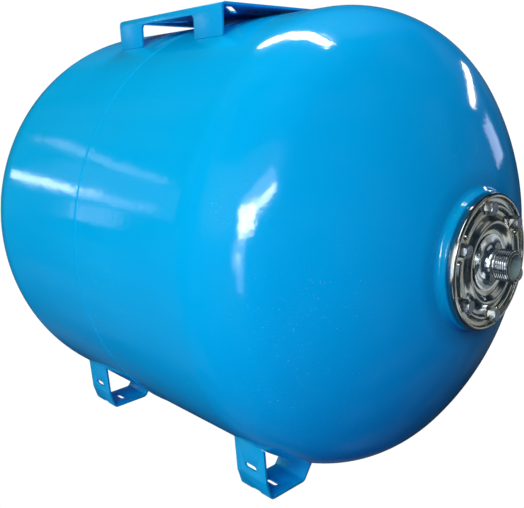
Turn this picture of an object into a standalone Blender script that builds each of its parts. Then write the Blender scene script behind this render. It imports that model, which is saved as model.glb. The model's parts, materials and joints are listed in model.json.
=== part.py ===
"""Horizontal well pressure tank: a welded steel vessel with a rubber bag, on four strip feet.

The tank's axis runs along X, the flanged water connection is at +X, the air valve at -X, and Z is up.
The origin is on the floor, under the middle of the bounding box. All lengths are in metres.
"""
import math

import bmesh
import bpy
from mathutils import Matrix, Vector

MM = 0.001

# Vessel
TANK_RADIUS = 275.0 * MM
WALL = 2.0 * MM
HALF_STRAIGHT = 194.0 * MM
KNUCKLE_RADIUS = 123.0 * MM
CROWN_RADIUS = 369.0 * MM
BELLY_CLEARANCE = 10.6 * MM
ROUND_STEPS = 48
FLANGE_STEPS = 32
NIPPLE_STEPS = 28
HIDDEN_STEPS = 20
HOLE_STEPS = 10
VALVE_STEPS = 20

# Girth weld
WELD_ROOT = 1.6 * MM
WELD_HALF_WIDTH = 2.8 * MM
WELD_CROWN = 0.9 * MM
WELD_FLAT_SHARE = 0.35

# Neck and the ring behind it
NECK_RADIUS = 75.0 * MM
NECK_FILLET = 7.0 * MM
NECK_EDGE_RADIUS = 2.5 * MM
NECK_RISE = 8.7 * MM
NECK_OPENING = 46.0 * MM
RING_THICKNESS = 8.0 * MM
RING_OUTER = 70.0 * MM
RING_INNER = 50.0 * MM

# Flange
FLANGE_RADIUS = 73.1 * MM
FLANGE_SHEET = 2.4 * MM
FLANGE_RIM_HEIGHT = 9.5 * MM
FLANGE_RIM_ROUND = 3.4 * MM
FLANGE_RIM_WIDTH = 5.2 * MM
FLANGE_FOOT_ROUND = 1.9 * MM
FLANGE_GROOVE_ROUND = 1.2 * MM
FLANGE_FACE_HEIGHT = 5.5 * MM
FLANGE_FLOOR_HEIGHT = 5.4 * MM
FLANGE_CREST_RADIUS = 42.7 * MM
FLANGE_CREST_HEIGHT = 11.4 * MM
FLANGE_CREST_SPREAD = 9.5 * MM
FLANGE_CREST_INNER_SPREAD = 9.0 * MM
FLANGE_HOLE = 28.4 * MM
RIB_COUNT = 6
RIB_CENTRE_RADIUS = 59.2 * MM
RIB_HALF_WIDTH = 3.3 * MM
RIB_RISE = 3.4 * MM
RIB_SPAN = math.radians(32.0)
RIB_HOLLOW_SHARE = 0.55

# Bolts
BOLT_COUNT = 6
BOLT_CIRCLE = 59.0 * MM
BOLT_PHASE = math.radians(97.5)
BOLT_SHANK = 3.9 * MM
BOLT_HOLE = 4.6 * MM
BOLT_TAPPED_HOLE = 4.3 * MM
BOLT_HEAD_ACROSS_FLATS = 13.0 * MM
BOLT_HEAD_HEIGHT = 8.6 * MM
BOLT_HEAD_CHAMFER = 0.7 * MM

# Water connection
NIPPLE_THREAD_RADIUS = 16.6 * MM
NIPPLE_BORE = 12.5 * MM
NIPPLE_LENGTH = 28.8 * MM
NIPPLE_THREAD_LENGTH = 16.4 * MM
NIPPLE_RELIEF = 0.9 * MM
NIPPLE_CHAMFER = 1.4 * MM
NIPPLE_FLARE_RADIUS = 30.0 * MM
NIPPLE_FLARE_EDGE = 1.0 * MM
NIPPLE_SPIGOT_DEPTH = 4.0 * MM
NIPPLE_SPIGOT_WALL = 2.4 * MM
NIPPLE_SPIGOT_LEAD = 1.0 * MM

# Rubber bag
BAG_WALL = 3.0 * MM
BAG_RADIUS = 205.0 * MM
BAG_TUBE_RADIUS = 44.8 * MM
BAG_TUBE_DEPTH = 26.0 * MM
BAG_SHOULDER = 120.0 * MM
BAG_FRONT_GAP = 26.0 * MM
BAG_REAR_END = 250.0 * MM
BAG_LIP_RADIUS = 53.0 * MM
BAG_LIP_THICKNESS = 2.3 * MM
BAG_BEAD_RADIUS = 2.2 * MM
BAG_BEAD_SLACK = 3.0 * MM

# Pump bracket
BRACKET_SHEET = 3.0 * MM
BRACKET_HALF_WIDTH = 124.0 * MM
BRACKET_HALF_LENGTH = 108.0 * MM
BRACKET_TOP_RISE = 8.1 * MM
BRACKET_BEND = 3.2 * MM
BRACKET_WINDOW_HALF = 55.5 * MM
BRACKET_WINDOW_STRIP = 9.4 * MM
BRACKET_WINDOW_CORNER = 6.0 * MM
BRACKET_SLOT_X = 69.5 * MM
BRACKET_SLOT_Y = 77.0 * MM
BRACKET_SLOT_LENGTH = 62.0 * MM
BRACKET_SLOT_WIDTH = 8.5 * MM

# Feet
FOOT_SHEET = 3.0 * MM
FOOT_WIDTH = 51.0 * MM
FOOT_X = 175.8 * MM
FOOT_NEAR_LEG_TOP_Y = 169.5 * MM
FOOT_NEAR_LEG_Y = 166.6 * MM
FOOT_NEAR_LEG_KINK = 24.0 * MM
FOOT_BASE_OUTER_Y = 159.5 * MM
FOOT_BASE_INNER_Y = 102.5 * MM
FOOT_FAR_LEG_TOP_Y = 82.0 * MM
FOOT_BEND = 5.0 * MM
FOOT_SLOT_LENGTH = 20.0 * MM
FOOT_SLOT_WIDTH = 7.0 * MM
FOOT_LEG_SLOT_HEIGHT = 37.0 * MM
FOOT_BASE_SLOT_Y = 134.0 * MM
FOOT_BEND_SLOT_LENGTH = 18.0 * MM
FOOT_BEND_SLOT_WIDTH = 8.0 * MM

# Air valve
VALVE_HOLE = 5.3 * MM
VALVE_STEM_RADIUS = 3.85 * MM
VALVE_SHOULDER_RADIUS = 4.9 * MM
VALVE_HEAD_RADIUS = 8.5 * MM
VALVE_HEAD_HEIGHT = 3.0 * MM
VALVE_HEAD_DEPTH = 6.5 * MM
VALVE_STEM_LENGTH = 22.0 * MM
VALVE_SHOULDER_LENGTH = 9.0 * MM
VALVE_SHOULDER_CHAMFER = 1.0 * MM
VALVE_TIP_CHAMFER = 0.4 * MM
VALVE_BORE = 2.6 * MM
VALVE_SEAL_RADIUS = 9.0 * MM
VALVE_SEAL_THICKNESS = 2.0 * MM
VALVE_NUT_ACROSS_FLATS = 14.0 * MM
VALVE_NUT_HEIGHT = 5.0 * MM
VALVE_CORE_RADIUS = 2.3 * MM
VALVE_CORE_LENGTH = 13.0 * MM
VALVE_CORE_BORE = 1.0 * MM
VALVE_CORE_SINK = 2.6 * MM
VALVE_PIN_RADIUS = 0.65 * MM
VALVE_PIN_REACH = 1.8 * MM
VALVE_POPPET_RADIUS = 1.7 * MM
VALVE_POPPET_HEIGHT = 1.2 * MM
VALVE_CAP_RADIUS = 6.2 * MM
VALVE_CAP_WALL_GAP = 0.35 * MM
VALVE_CAP_DEPTH = 9.5 * MM
VALVE_CAP_END = 2.5 * MM
VALVE_CAP_CHAMFER = 0.8 * MM
VALVE_CAP_FLUTES = 10
VALVE_CAP_FLUTE_DEPTH = 0.5 * MM
VALVE_CAP_FLUTE_OVERRUN = 1.0 * MM

# Clearances
GAP = 0.3 * MM

# Derived places
AXIS_HEIGHT = TANK_RADIUS + BELLY_CLEARANCE
CROWN_HALF_ANGLE = math.asin((TANK_RADIUS - KNUCKLE_RADIUS) / (CROWN_RADIUS - KNUCKLE_RADIUS))
CROWN_CENTRE = HALF_STRAIGHT - (CROWN_RADIUS - KNUCKLE_RADIUS) * math.cos(CROWN_HALF_ANGLE)
POLE = CROWN_CENTRE + CROWN_RADIUS
SEAT = CROWN_CENTRE + math.sqrt(CROWN_RADIUS ** 2 - NECK_RADIUS ** 2) + NECK_RISE
FLANGE_FOOT = SEAT + GAP
FLANGE_FACE = SEAT + FLANGE_FACE_HEIGHT
FLANGE_FLOOR = SEAT + FLANGE_FLOOR_HEIGHT
NIPPLE_BASE = FLANGE_FLOOR + GAP
NIPPLE_END = NIPPLE_BASE + NIPPLE_LENGTH
RING_FACE = SEAT - WALL - GAP
VALVE_OUTER = POLE + GAP
VALVE_TIP = VALVE_OUTER + VALVE_STEM_LENGTH
CAP_TIP = VALVE_TIP + GAP + VALVE_CAP_END
MIDDLE_X = (NIPPLE_END - CAP_TIP) / 2.0

COLLECTION = "well_pressure_tank"
CUTTERS = "well_pressure_tank_cutters"


def clear_scene():
    for obj in list(bpy.data.objects):
        bpy.data.objects.remove(obj, do_unlink=True)
    for name in (COLLECTION, CUTTERS):
        group = bpy.data.collections.get(name)
        if group is not None:
            bpy.data.collections.remove(group)


def new_collection(name):
    group = bpy.data.collections.new(name)
    bpy.context.scene.collection.children.link(group)
    return group


def principled(name, colour, roughness, metallic=0.0, coat=0.0):
    material = bpy.data.materials.new(name)
    material.use_nodes = True
    shader = material.node_tree.nodes["Principled BSDF"]
    shader.inputs["Base Color"].default_value = (*colour, 1.0)
    shader.inputs["Roughness"].default_value = roughness
    shader.inputs["Metallic"].default_value = metallic
    shader.inputs["Coat Weight"].default_value = coat
    material.diffuse_color = (*colour, 1.0)
    return material


def make_materials():
    return {
        "paint": principled("blue_paint", (0.0, 0.262, 0.723), 0.18, 0.0, 1.0),
        "inside": principled("bare_steel", (0.35, 0.35, 0.36), 0.5, 1.0),
        "zinc": principled("yellow_zinc", (0.40, 0.39, 0.33), 0.28, 1.0),
        "bright": principled("bright_zinc", (0.62, 0.65, 0.68), 0.2, 1.0),
        "rubber": principled("bag_rubber", (0.02, 0.02, 0.02), 0.7),
        "brass": principled("valve_brass", (0.72, 0.50, 0.20), 0.3, 1.0),
        "plastic": principled("cap_plastic", (0.015, 0.015, 0.015), 0.45),
    }


def arc(centre, radius, start, end, count):
    """Points (a, b) on an arc, from one angle to another, both included."""
    points = []
    for index in range(count + 1):
        angle = start + (end - start) * index / count
        points.append((centre[0] + radius * math.cos(angle), centre[1] + radius * math.sin(angle)))
    return points


def tidy_path(points, least=1e-6):
    kept = [points[0]]
    for point in points[1:]:
        if math.dist(point, kept[-1]) > least:
            kept.append(point)
    return kept


def offset_path(points, distance):
    """The path moved sideways to its left by a distance, mitred at each corner."""
    moved = []
    for index, point in enumerate(points):
        before = points[max(index - 1, 0)]
        after = points[min(index + 1, len(points) - 1)]
        normals = []
        for start, end in ((before, point), (point, after)):
            length = math.dist(start, end)
            if length > 0.0:
                normals.append(((start[1] - end[1]) / length, (end[0] - start[0]) / length))
        nx = sum(n[0] for n in normals)
        ny = sum(n[1] for n in normals)
        scale = math.hypot(nx, ny)
        nx, ny = nx / scale, ny / scale
        mitre = distance / max(nx * normals[0][0] + ny * normals[0][1], 0.4)
        moved.append((point[0] + nx * mitre, point[1] + ny * mitre))
    return moved


def rounded_path(corners, radius, count):
    """A polyline whose inner corners are replaced by arcs."""
    points = [corners[0]]
    for index in range(1, len(corners) - 1):
        here = Vector(corners[index])
        back = (Vector(corners[index - 1]) - here).normalized()
        ahead = (Vector(corners[index + 1]) - here).normalized()
        half = back.angle(ahead) / 2.0
        reach = radius / math.tan(half)
        centre = here + (back + ahead).normalized() * radius / math.sin(half)
        start = here + back * reach - centre
        end = here + ahead * reach - centre
        turn = start.angle_signed(end)
        for step in range(count + 1):
            angle = -turn * step / count
            spun = Matrix.Rotation(angle, 2) @ start
            points.append(tuple(centre + spun))
    points.append(corners[-1])
    return points


def mesh_object(name, mesh, group, material=None):
    obj = bpy.data.objects.new(name, mesh)
    group.objects.link(obj)
    if material is not None:
        mesh.materials.append(material)
    return obj


def loop_mesh(name, points, closed=True):
    """An edge loop in the local XZ plane: each point is (radius, height)."""
    mesh = bpy.data.meshes.new(name)
    bm = bmesh.new()
    verts = [bm.verts.new((radius, 0.0, height)) for radius, height in points]
    last = len(verts) if closed else len(verts) - 1
    for index in range(last):
        bm.edges.new((verts[index], verts[(index + 1) % len(verts)]))
    bm.to_mesh(mesh)
    bm.free()
    return mesh


def lay_along_x(obj, side=1.0, height=None):
    """Turns a piece made about its own Z so that it lies on the tank's axis."""
    obj.location = (-MIDDLE_X, 0.0, AXIS_HEIGHT if height is None else height)
    obj.rotation_euler = (0.0, side * math.pi / 2.0, 0.0)
    return obj


def screw_modifier(obj, steps):
    screw = obj.modifiers.new("turn", "SCREW")
    screw.axis = "Z"
    screw.angle = 2.0 * math.pi
    screw.steps = steps
    screw.render_steps = steps
    screw.use_merge_vertices = True
    screw.merge_threshold = 0.00001
    screw.use_smooth_shade = True
    return screw


def turned(name, points, steps, group, material=None, closed=True):
    """A solid of revolution. Its profile runs down the outer side and back up the inner side."""
    obj = mesh_object(name, loop_mesh(name, points, closed), group, material)
    screw_modifier(obj, steps)
    return obj


def as_cutter(obj):
    obj.hide_render = True
    obj.display_type = "WIRE"
    return obj


def boolean(obj, other, operation):
    cut = obj.modifiers.new(operation.lower(), "BOOLEAN")
    cut.operation = operation
    cut.solver = "EXACT"
    cut.object = other
    return cut


def cylinder(name, radius, low, high, group, sides=16, phase=0.0):
    """A cylinder about its own Z, between two heights."""
    mesh = bpy.data.meshes.new(name)
    bm = bmesh.new()
    bmesh.ops.create_cone(bm, cap_ends=True, segments=sides, radius1=radius, radius2=radius,
                          depth=high - low,
                          matrix=Matrix.Translation((0.0, 0.0, (low + high) / 2.0))
                          @ Matrix.Rotation(phase, 4, "Z"))
    bm.to_mesh(mesh)
    bm.free()
    return mesh_object(name, mesh, group)


def merged_mesh(name, parts):
    """One mesh holding several objects' evaluated meshes, which do not meet each other."""
    bpy.context.view_layer.update()
    depsgraph = bpy.context.evaluated_depsgraph_get()
    bm = bmesh.new()
    for part in parts:
        mesh = bpy.data.meshes.new_from_object(part.evaluated_get(depsgraph))
        mesh.transform(part.matrix_world)
        bm.from_mesh(mesh)
        bpy.data.meshes.remove(mesh)
    bmesh.ops.remove_doubles(bm, verts=bm.verts, dist=0.000001)
    mesh = bpy.data.meshes.new(name)
    bm.to_mesh(mesh)
    bm.free()
    for part in parts:
        bpy.data.objects.remove(part, do_unlink=True)
    return mesh


def shade(obj, angle=math.radians(32.0)):
    obj.data.shade_smooth()
    obj.data.set_sharp_from_angle(angle=angle)


def bolt_angles():
    """Angles of the bolts about the tank's axis, from +Y towards +Z."""
    return [BOLT_PHASE - index * 2.0 * math.pi / BOLT_COUNT for index in range(BOLT_COUNT)]


# Vessel


def dish_path(inner_end):
    """Outer side of a dished half, from the seam to the edge of its hole."""
    knuckle_centre = (TANK_RADIUS - KNUCKLE_RADIUS, HALF_STRAIGHT)
    path = [(TANK_RADIUS, WELD_ROOT + GAP), (TANK_RADIUS, HALF_STRAIGHT)]
    path += arc(knuckle_centre, KNUCKLE_RADIUS, 0.0, math.pi / 2.0 - CROWN_HALF_ANGLE, 4)
    end_angle = math.pi / 2.0 - math.asin(inner_end / CROWN_RADIUS)
    path += arc((0.0, CROWN_CENTRE), CROWN_RADIUS, math.pi / 2.0 - CROWN_HALF_ANGLE, end_angle, 4)
    return tidy_path(path)


def neck_path():
    """The drawn neck, from the crown up to the edge of the opening in its seat."""
    fillet_r = NECK_RADIUS + NECK_FILLET
    reach = CROWN_RADIUS + NECK_FILLET
    fillet_x = CROWN_CENTRE + math.sqrt(reach ** 2 - fillet_r ** 2)
    lean = math.asin(fillet_r / reach)
    path = arc((fillet_r, fillet_x), NECK_FILLET, -math.pi / 2.0 - lean, -math.pi, 3)
    edge = (NECK_RADIUS - NECK_EDGE_RADIUS, SEAT - NECK_EDGE_RADIUS)
    path += arc(edge, NECK_EDGE_RADIUS, 0.0, math.pi / 2.0, 2)
    path.append((NECK_OPENING, SEAT))
    return path


def crown_end_for_neck():
    fillet_r = NECK_RADIUS + NECK_FILLET
    return fillet_r * CROWN_RADIUS / (CROWN_RADIUS + NECK_FILLET)


def shell_solid(name, path, group, material):
    inner = offset_path(path, WALL)
    outline = list(reversed(path)) + inner
    return turned(name, outline, ROUND_STEPS, group, material)


def make_front_shell(group, cutters, material):
    path = tidy_path(dish_path(crown_end_for_neck())[:-1] + neck_path())
    shell = lay_along_x(shell_solid("front_shell", path, group, material))
    holes = bolt_hole_cutters("seat_holes", BOLT_HOLE, SEAT - 3.0 * WALL, SEAT + WALL, cutters)
    boolean(shell, holes, "DIFFERENCE")
    shade(shell)
    return shell


def make_rear_shell(group, material):
    shell = lay_along_x(shell_solid("rear_shell", dish_path(VALVE_HOLE), group, material), -1.0)
    shade(shell)
    return shell


def make_girth_weld(group, material):
    root = TANK_RADIUS - WALL + GAP
    under = TANK_RADIUS + GAP
    crown = TANK_RADIUS + GAP + WELD_CROWN
    flat = WELD_HALF_WIDTH * WELD_FLAT_SHARE
    profile = [(under, WELD_HALF_WIDTH),
               (crown, flat),
               (crown, -flat),
               (under, -WELD_HALF_WIDTH),
               (under, -WELD_ROOT),
               (root, -WELD_ROOT),
               (root, WELD_ROOT),
               (under, WELD_ROOT)]
    weld = lay_along_x(turned("girth_weld", profile, ROUND_STEPS, group, material))
    shade(weld)
    return weld


# Neck ring, flange and bolts


def around_axis(obj, angle, radius):
    """Places a piece made about its own Z at an angle round the tank's axis."""
    centre = (-MIDDLE_X, radius * math.cos(angle), AXIS_HEIGHT + radius * math.sin(angle))
    obj.location = centre
    obj.rotation_euler = (0.0, math.pi / 2.0, 0.0)
    return obj


def bolt_hole_cutters(name, radius, low, high, cutters):
    holes = []
    for index, angle in enumerate(bolt_angles()):
        hole = cylinder(f"{name}_{index}", radius, low, high, cutters, HOLE_STEPS)
        holes.append(around_axis(hole, angle, BOLT_CIRCLE))
    return as_cutter(mesh_object(name, merged_mesh(name, holes), cutters))


def make_neck_ring(group, cutters, material):
    low = RING_FACE - RING_THICKNESS
    profile = [(RING_OUTER, RING_FACE), (RING_OUTER, low), (RING_INNER, low), (RING_INNER, RING_FACE)]
    ring = lay_along_x(turned("neck_ring", profile, HIDDEN_STEPS, group, material))
    holes = bolt_hole_cutters("tapped_holes", BOLT_TAPPED_HOLE, low - WALL, RING_FACE + WALL, cutters)
    boolean(ring, holes, "DIFFERENCE")
    shade(ring)
    return ring


def flange_rim():
    """Front side of the rolled rim, from its foot over its top and down to the face."""
    top = SEAT + FLANGE_RIM_HEIGHT
    outer_round = (FLANGE_RADIUS - FLANGE_RIM_ROUND, top - FLANGE_RIM_ROUND)
    lip_radius = FLANGE_RIM_WIDTH - FLANGE_RIM_ROUND
    lip = (outer_round[0], top - lip_radius)
    foot_round = (FLANGE_RADIUS - FLANGE_FOOT_ROUND, FLANGE_FOOT + FLANGE_FOOT_ROUND)
    path = arc(foot_round, FLANGE_FOOT_ROUND, -math.pi / 2.0, 0.0, 2)
    path += arc(outer_round, FLANGE_RIM_ROUND, 0.0, math.pi / 2.0, 3)
    path += arc(lip, lip_radius, math.pi / 2.0, math.pi, 2)
    path.append((FLANGE_RADIUS - FLANGE_RIM_WIDTH, FLANGE_FACE + FLANGE_GROOVE_ROUND))
    return tidy_path(path)


def flange_face():
    """Front side of the face, from the groove inside the rim, over the raised ring, to the hole."""
    groove = FLANGE_RADIUS - FLANGE_RIM_WIDTH - FLANGE_GROOVE_ROUND
    path = [(groove, FLANGE_FACE)]
    crest_outer = FLANGE_CREST_RADIUS + FLANGE_CREST_SPREAD
    path += swell(crest_outer, FLANGE_FACE, FLANGE_CREST_RADIUS, SEAT + FLANGE_CREST_HEIGHT, 4)
    crest_inner = FLANGE_CREST_RADIUS - FLANGE_CREST_INNER_SPREAD
    path += swell(FLANGE_CREST_RADIUS, SEAT + FLANGE_CREST_HEIGHT, crest_inner, FLANGE_FLOOR, 3)[1:]
    path.append((FLANGE_HOLE, FLANGE_FLOOR))
    return tidy_path(path)


def swell(r_start, x_start, r_end, x_end, count):
    """A smooth S-shaped rise or fall between two radii."""
    points = []
    for index in range(count + 1):
        share = index / count
        ease = (1.0 - math.cos(math.pi * share)) / 2.0
        points.append((r_start + (r_end - r_start) * share, x_start + (x_end - x_start) * ease))
    return points


def rib_arcs(name, half_width, rise, height, rounding, group):
    """The embossed ribs as arcs of a flattened tube, with round ends."""
    arcs = []
    count = 4
    pitch = 2.0 * math.pi / RIB_COUNT
    for rib in range(RIB_COUNT):
        middle = BOLT_PHASE - (rib + 0.5) * pitch
        curve = bpy.data.curves.new(f"{name}_{rib}", "CURVE")
        curve.dimensions = "3D"
        curve.bevel_depth = half_width
        curve.bevel_resolution = rounding
        curve.resolution_u = 1
        curve.render_resolution_u = 0
        curve.use_fill_caps = True
        spline = curve.splines.new("POLY")
        spline.points.add(count + 2)
        for index in range(count + 3):
            inner = min(max(index - 1, 0), count)
            angle = middle + RIB_SPAN * (inner / count - 0.5)
            shrink = 0.45 if index in (0, count + 2) else 1.0
            extra = (index - 1 - inner) * half_width * 0.8 / RIB_CENTRE_RADIUS
            y = RIB_CENTRE_RADIUS * math.cos(angle + extra)
            z = RIB_CENTRE_RADIUS * math.sin(angle + extra)
            spline.points[index].co = (0.0, y, z, 1.0)
            spline.points[index].radius = shrink
        obj = bpy.data.objects.new(f"{name}_{rib}", curve)
        group.objects.link(obj)
        obj.scale = (rise / half_width, 1.0, 1.0)
        obj.location = (height - MIDDLE_X, 0.0, AXIS_HEIGHT)
        arcs.append(obj)
    return as_cutter(mesh_object(name, merged_mesh(name, arcs), group))


def make_flange(group, cutters, material):
    face = flange_face()
    skirt = FLANGE_RADIUS - FLANGE_SHEET
    back = [(skirt, FLANGE_FOOT), (skirt, FLANGE_FACE - FLANGE_SHEET * 0.4)]
    back += offset_path(face, FLANGE_SHEET)
    outline = list(reversed(flange_rim() + face)) + back
    flange = lay_along_x(turned("flange", outline, FLANGE_STEPS, group, material))
    ribs = rib_arcs("rib_forms", RIB_HALF_WIDTH, RIB_RISE + FLANGE_SHEET * 0.3,
                    FLANGE_FACE - FLANGE_SHEET * 0.3, 1, cutters)
    boolean(flange, ribs, "UNION")
    hollows = rib_arcs("rib_hollows", RIB_HALF_WIDTH * RIB_HOLLOW_SHARE, RIB_RISE,
                       FLANGE_FACE - FLANGE_SHEET - RIB_RISE * 0.2, 0, cutters)
    boolean(flange, hollows, "DIFFERENCE")
    holes = bolt_hole_cutters("flange_holes", BOLT_HOLE, SEAT, FLANGE_FACE + 2.0 * FLANGE_SHEET, cutters)
    boolean(flange, holes, "DIFFERENCE")
    shade(flange)
    return flange


def make_bolts(group, material):
    low = RING_FACE - RING_THICKNESS
    under_head = FLANGE_FACE + GAP
    head_radius = BOLT_HEAD_ACROSS_FLATS / 2.0 / math.cos(math.pi / 6.0)
    mesh = bpy.data.meshes.new("flange_bolt")
    bm = bmesh.new()
    bmesh.ops.create_cone(bm, cap_ends=True, segments=6, radius1=head_radius, radius2=head_radius,
                          depth=BOLT_HEAD_HEIGHT,
                          matrix=Matrix.Translation((0.0, 0.0, under_head + BOLT_HEAD_HEIGHT / 2.0))
                          @ Matrix.Rotation(math.pi / 6.0, 4, "Z"))
    top = [e for e in bm.edges if all(v.co.z > under_head + BOLT_HEAD_HEIGHT * 0.5 for v in e.verts)]
    bmesh.ops.bevel(bm, geom=top, offset=BOLT_HEAD_CHAMFER, segments=1, affect="EDGES")
    bm.to_mesh(mesh)
    bm.free()
    head = mesh_object("bolt_head", mesh, group, material)
    shank = cylinder("bolt_shank", BOLT_SHANK, low + GAP, under_head + BOLT_HEAD_HEIGHT / 2.0, group,
                     HOLE_STEPS)
    boolean(head, shank, "UNION")
    bpy.context.view_layer.update()
    whole = bpy.data.meshes.new_from_object(head.evaluated_get(bpy.context.evaluated_depsgraph_get()))
    for obj in (head, shank):
        bpy.data.objects.remove(obj, do_unlink=True)
    whole.name = "flange_bolt"
    bolts = []
    for index, angle in enumerate(bolt_angles()):
        bolt = bpy.data.objects.new(f"flange_bolt_{index + 1}", whole)
        group.objects.link(bolt)
        around_axis(bolt, angle, BOLT_CIRCLE)
        bolts.append(bolt)
    shade(bolts[0])
    return bolts


# Water connection


def make_nipple(group, material):
    root = NIPPLE_THREAD_RADIUS - NIPPLE_RELIEF
    thread_low = NIPPLE_END - NIPPLE_THREAD_LENGTH
    flare_low = NIPPLE_BASE + NIPPLE_FLARE_EDGE
    path = [(NIPPLE_THREAD_RADIUS - NIPPLE_CHAMFER, NIPPLE_END),
            (NIPPLE_THREAD_RADIUS, NIPPLE_END - NIPPLE_CHAMFER),
            (NIPPLE_THREAD_RADIUS, thread_low),
            (root, thread_low - NIPPLE_RELIEF)]
    steps = 4
    for index in range(steps + 1):
        angle = math.pi / 2.0 * (1.0 - index / steps)
        radius = NIPPLE_FLARE_RADIUS - (NIPPLE_FLARE_RADIUS - root) * math.sin(angle)
        rise = (thread_low - 1.6 * NIPPLE_RELIEF - flare_low) * (1.0 - math.cos(angle))
        path.append((radius, flare_low + rise))
    spigot = FLANGE_HOLE - GAP
    back = NIPPLE_BASE - NIPPLE_SPIGOT_DEPTH
    path.append((NIPPLE_FLARE_RADIUS, NIPPLE_BASE))
    path.append((spigot, NIPPLE_BASE))
    path.append((spigot, back))
    funnel = spigot - NIPPLE_SPIGOT_WALL
    path.append((funnel, back))
    for index in range(steps + 1):
        angle = math.pi / 2.0 * index / steps
        radius = funnel - (funnel - NIPPLE_BORE) * math.sin(angle)
        rise = (thread_low - back) * 0.9 * (1.0 - math.cos(angle))
        path.append((radius, back + NIPPLE_SPIGOT_LEAD + rise))
    path.append((NIPPLE_BORE, NIPPLE_END))
    nipple = lay_along_x(turned("connection_nipple", tidy_path(path), NIPPLE_STEPS, group, material))
    shade(nipple)
    return nipple


# Rubber bag


def bag_path():
    """Outer side of the bag, from under the lip down the tube and round to the rear pole."""
    tube_end = SEAT - BAG_TUBE_DEPTH
    shoulder_x = tube_end - BAG_FRONT_GAP
    path = [(BAG_LIP_RADIUS, SEAT + GAP), (BAG_TUBE_RADIUS, SEAT + GAP), (BAG_TUBE_RADIUS, tube_end)]
    path += arc((BAG_TUBE_RADIUS + BAG_FRONT_GAP, tube_end), BAG_FRONT_GAP, math.pi, 1.5 * math.pi, 2)[1:]
    shoulder = (BAG_RADIUS - BAG_SHOULDER, shoulder_x - BAG_SHOULDER)
    path += arc(shoulder, BAG_SHOULDER, math.pi / 2.0, 0.0, 4)
    rear_round = BAG_RADIUS
    rear = (0.0, -(BAG_REAR_END - rear_round))
    path += arc(rear, rear_round, 0.0, -math.pi / 2.0, 5)
    return tidy_path(path)


def make_membrane(group, material):
    outer = bag_path()
    inner = offset_path(outer[1:], -BAG_WALL)
    inner[-1] = (0.0, outer[-1][1] + BAG_WALL)
    outer[-1] = (0.0, outer[-1][1])
    crest_under = SEAT + FLANGE_CREST_HEIGHT - FLANGE_SHEET - GAP
    bead_top = crest_under - BAG_BEAD_SLACK
    inner[0] = (BAG_TUBE_RADIUS - BAG_WALL, SEAT + GAP)
    lip_top = SEAT + GAP + BAG_LIP_THICKNESS
    bead_out = FLANGE_CREST_RADIUS + BAG_BEAD_RADIUS
    bead_in = FLANGE_CREST_RADIUS - BAG_BEAD_RADIUS
    bead = [(bead_in, lip_top), (FLANGE_CREST_RADIUS - BAG_BEAD_RADIUS * 0.5, bead_top),
            (FLANGE_CREST_RADIUS + BAG_BEAD_RADIUS * 0.5, bead_top), (bead_out, lip_top),
            (BAG_LIP_RADIUS, lip_top)]
    outline = outer + list(reversed(inner)) + bead
    bag = lay_along_x(turned("membrane", tidy_path(outline), HIDDEN_STEPS, group, material))
    shade(bag)
    return bag


# Pump bracket and feet


def extruded(name, outline, half_length, group, material=None):
    """A flat outline in the YZ plane, given as (y, z), extruded both ways along X."""
    curve = bpy.data.curves.new(name, "CURVE")
    curve.dimensions = "2D"
    curve.fill_mode = "BOTH"
    curve.extrude = half_length
    curve.resolution_u = 1
    curve.render_resolution_u = 0
    spline = curve.splines.new("POLY")
    spline.points.add(len(outline) - 1)
    for point, (y, z) in zip(spline.points, outline):
        point.co = (y, z, 0.0, 1.0)
    spline.use_cyclic_u = True
    flat = bpy.data.objects.new(name + "_outline", curve)
    group.objects.link(flat)
    flat.matrix_world = Matrix(((0, 0, 1, 0), (1, 0, 0, 0), (0, 1, 0, 0), (0, 0, 0, 1)))
    bpy.context.view_layer.update()
    mesh = merged_mesh(name, [flat])
    return mesh_object(name, mesh, group, material)


def stadium(name, length, width, depth, group):
    """A slot cutter: a bar with round ends, its length along X and its depth along Z."""
    mesh = bpy.data.meshes.new(name)
    bm = bmesh.new()
    sides = 12
    bmesh.ops.create_cone(bm, cap_ends=True, segments=sides, radius1=width / 2.0, radius2=width / 2.0,
                          depth=depth, matrix=Matrix.Rotation(math.pi / sides, 4, "Z"))
    shift = (length - width) / 2.0
    for vert in bm.verts:
        vert.co.x += shift if vert.co.x > 0.0 else -shift
    bm.to_mesh(mesh)
    bm.free()
    return mesh_object(name, mesh, group)


def sheet_outline(path, thickness):
    return tidy_path(path) + list(reversed(offset_path(tidy_path(path), thickness)))


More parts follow.
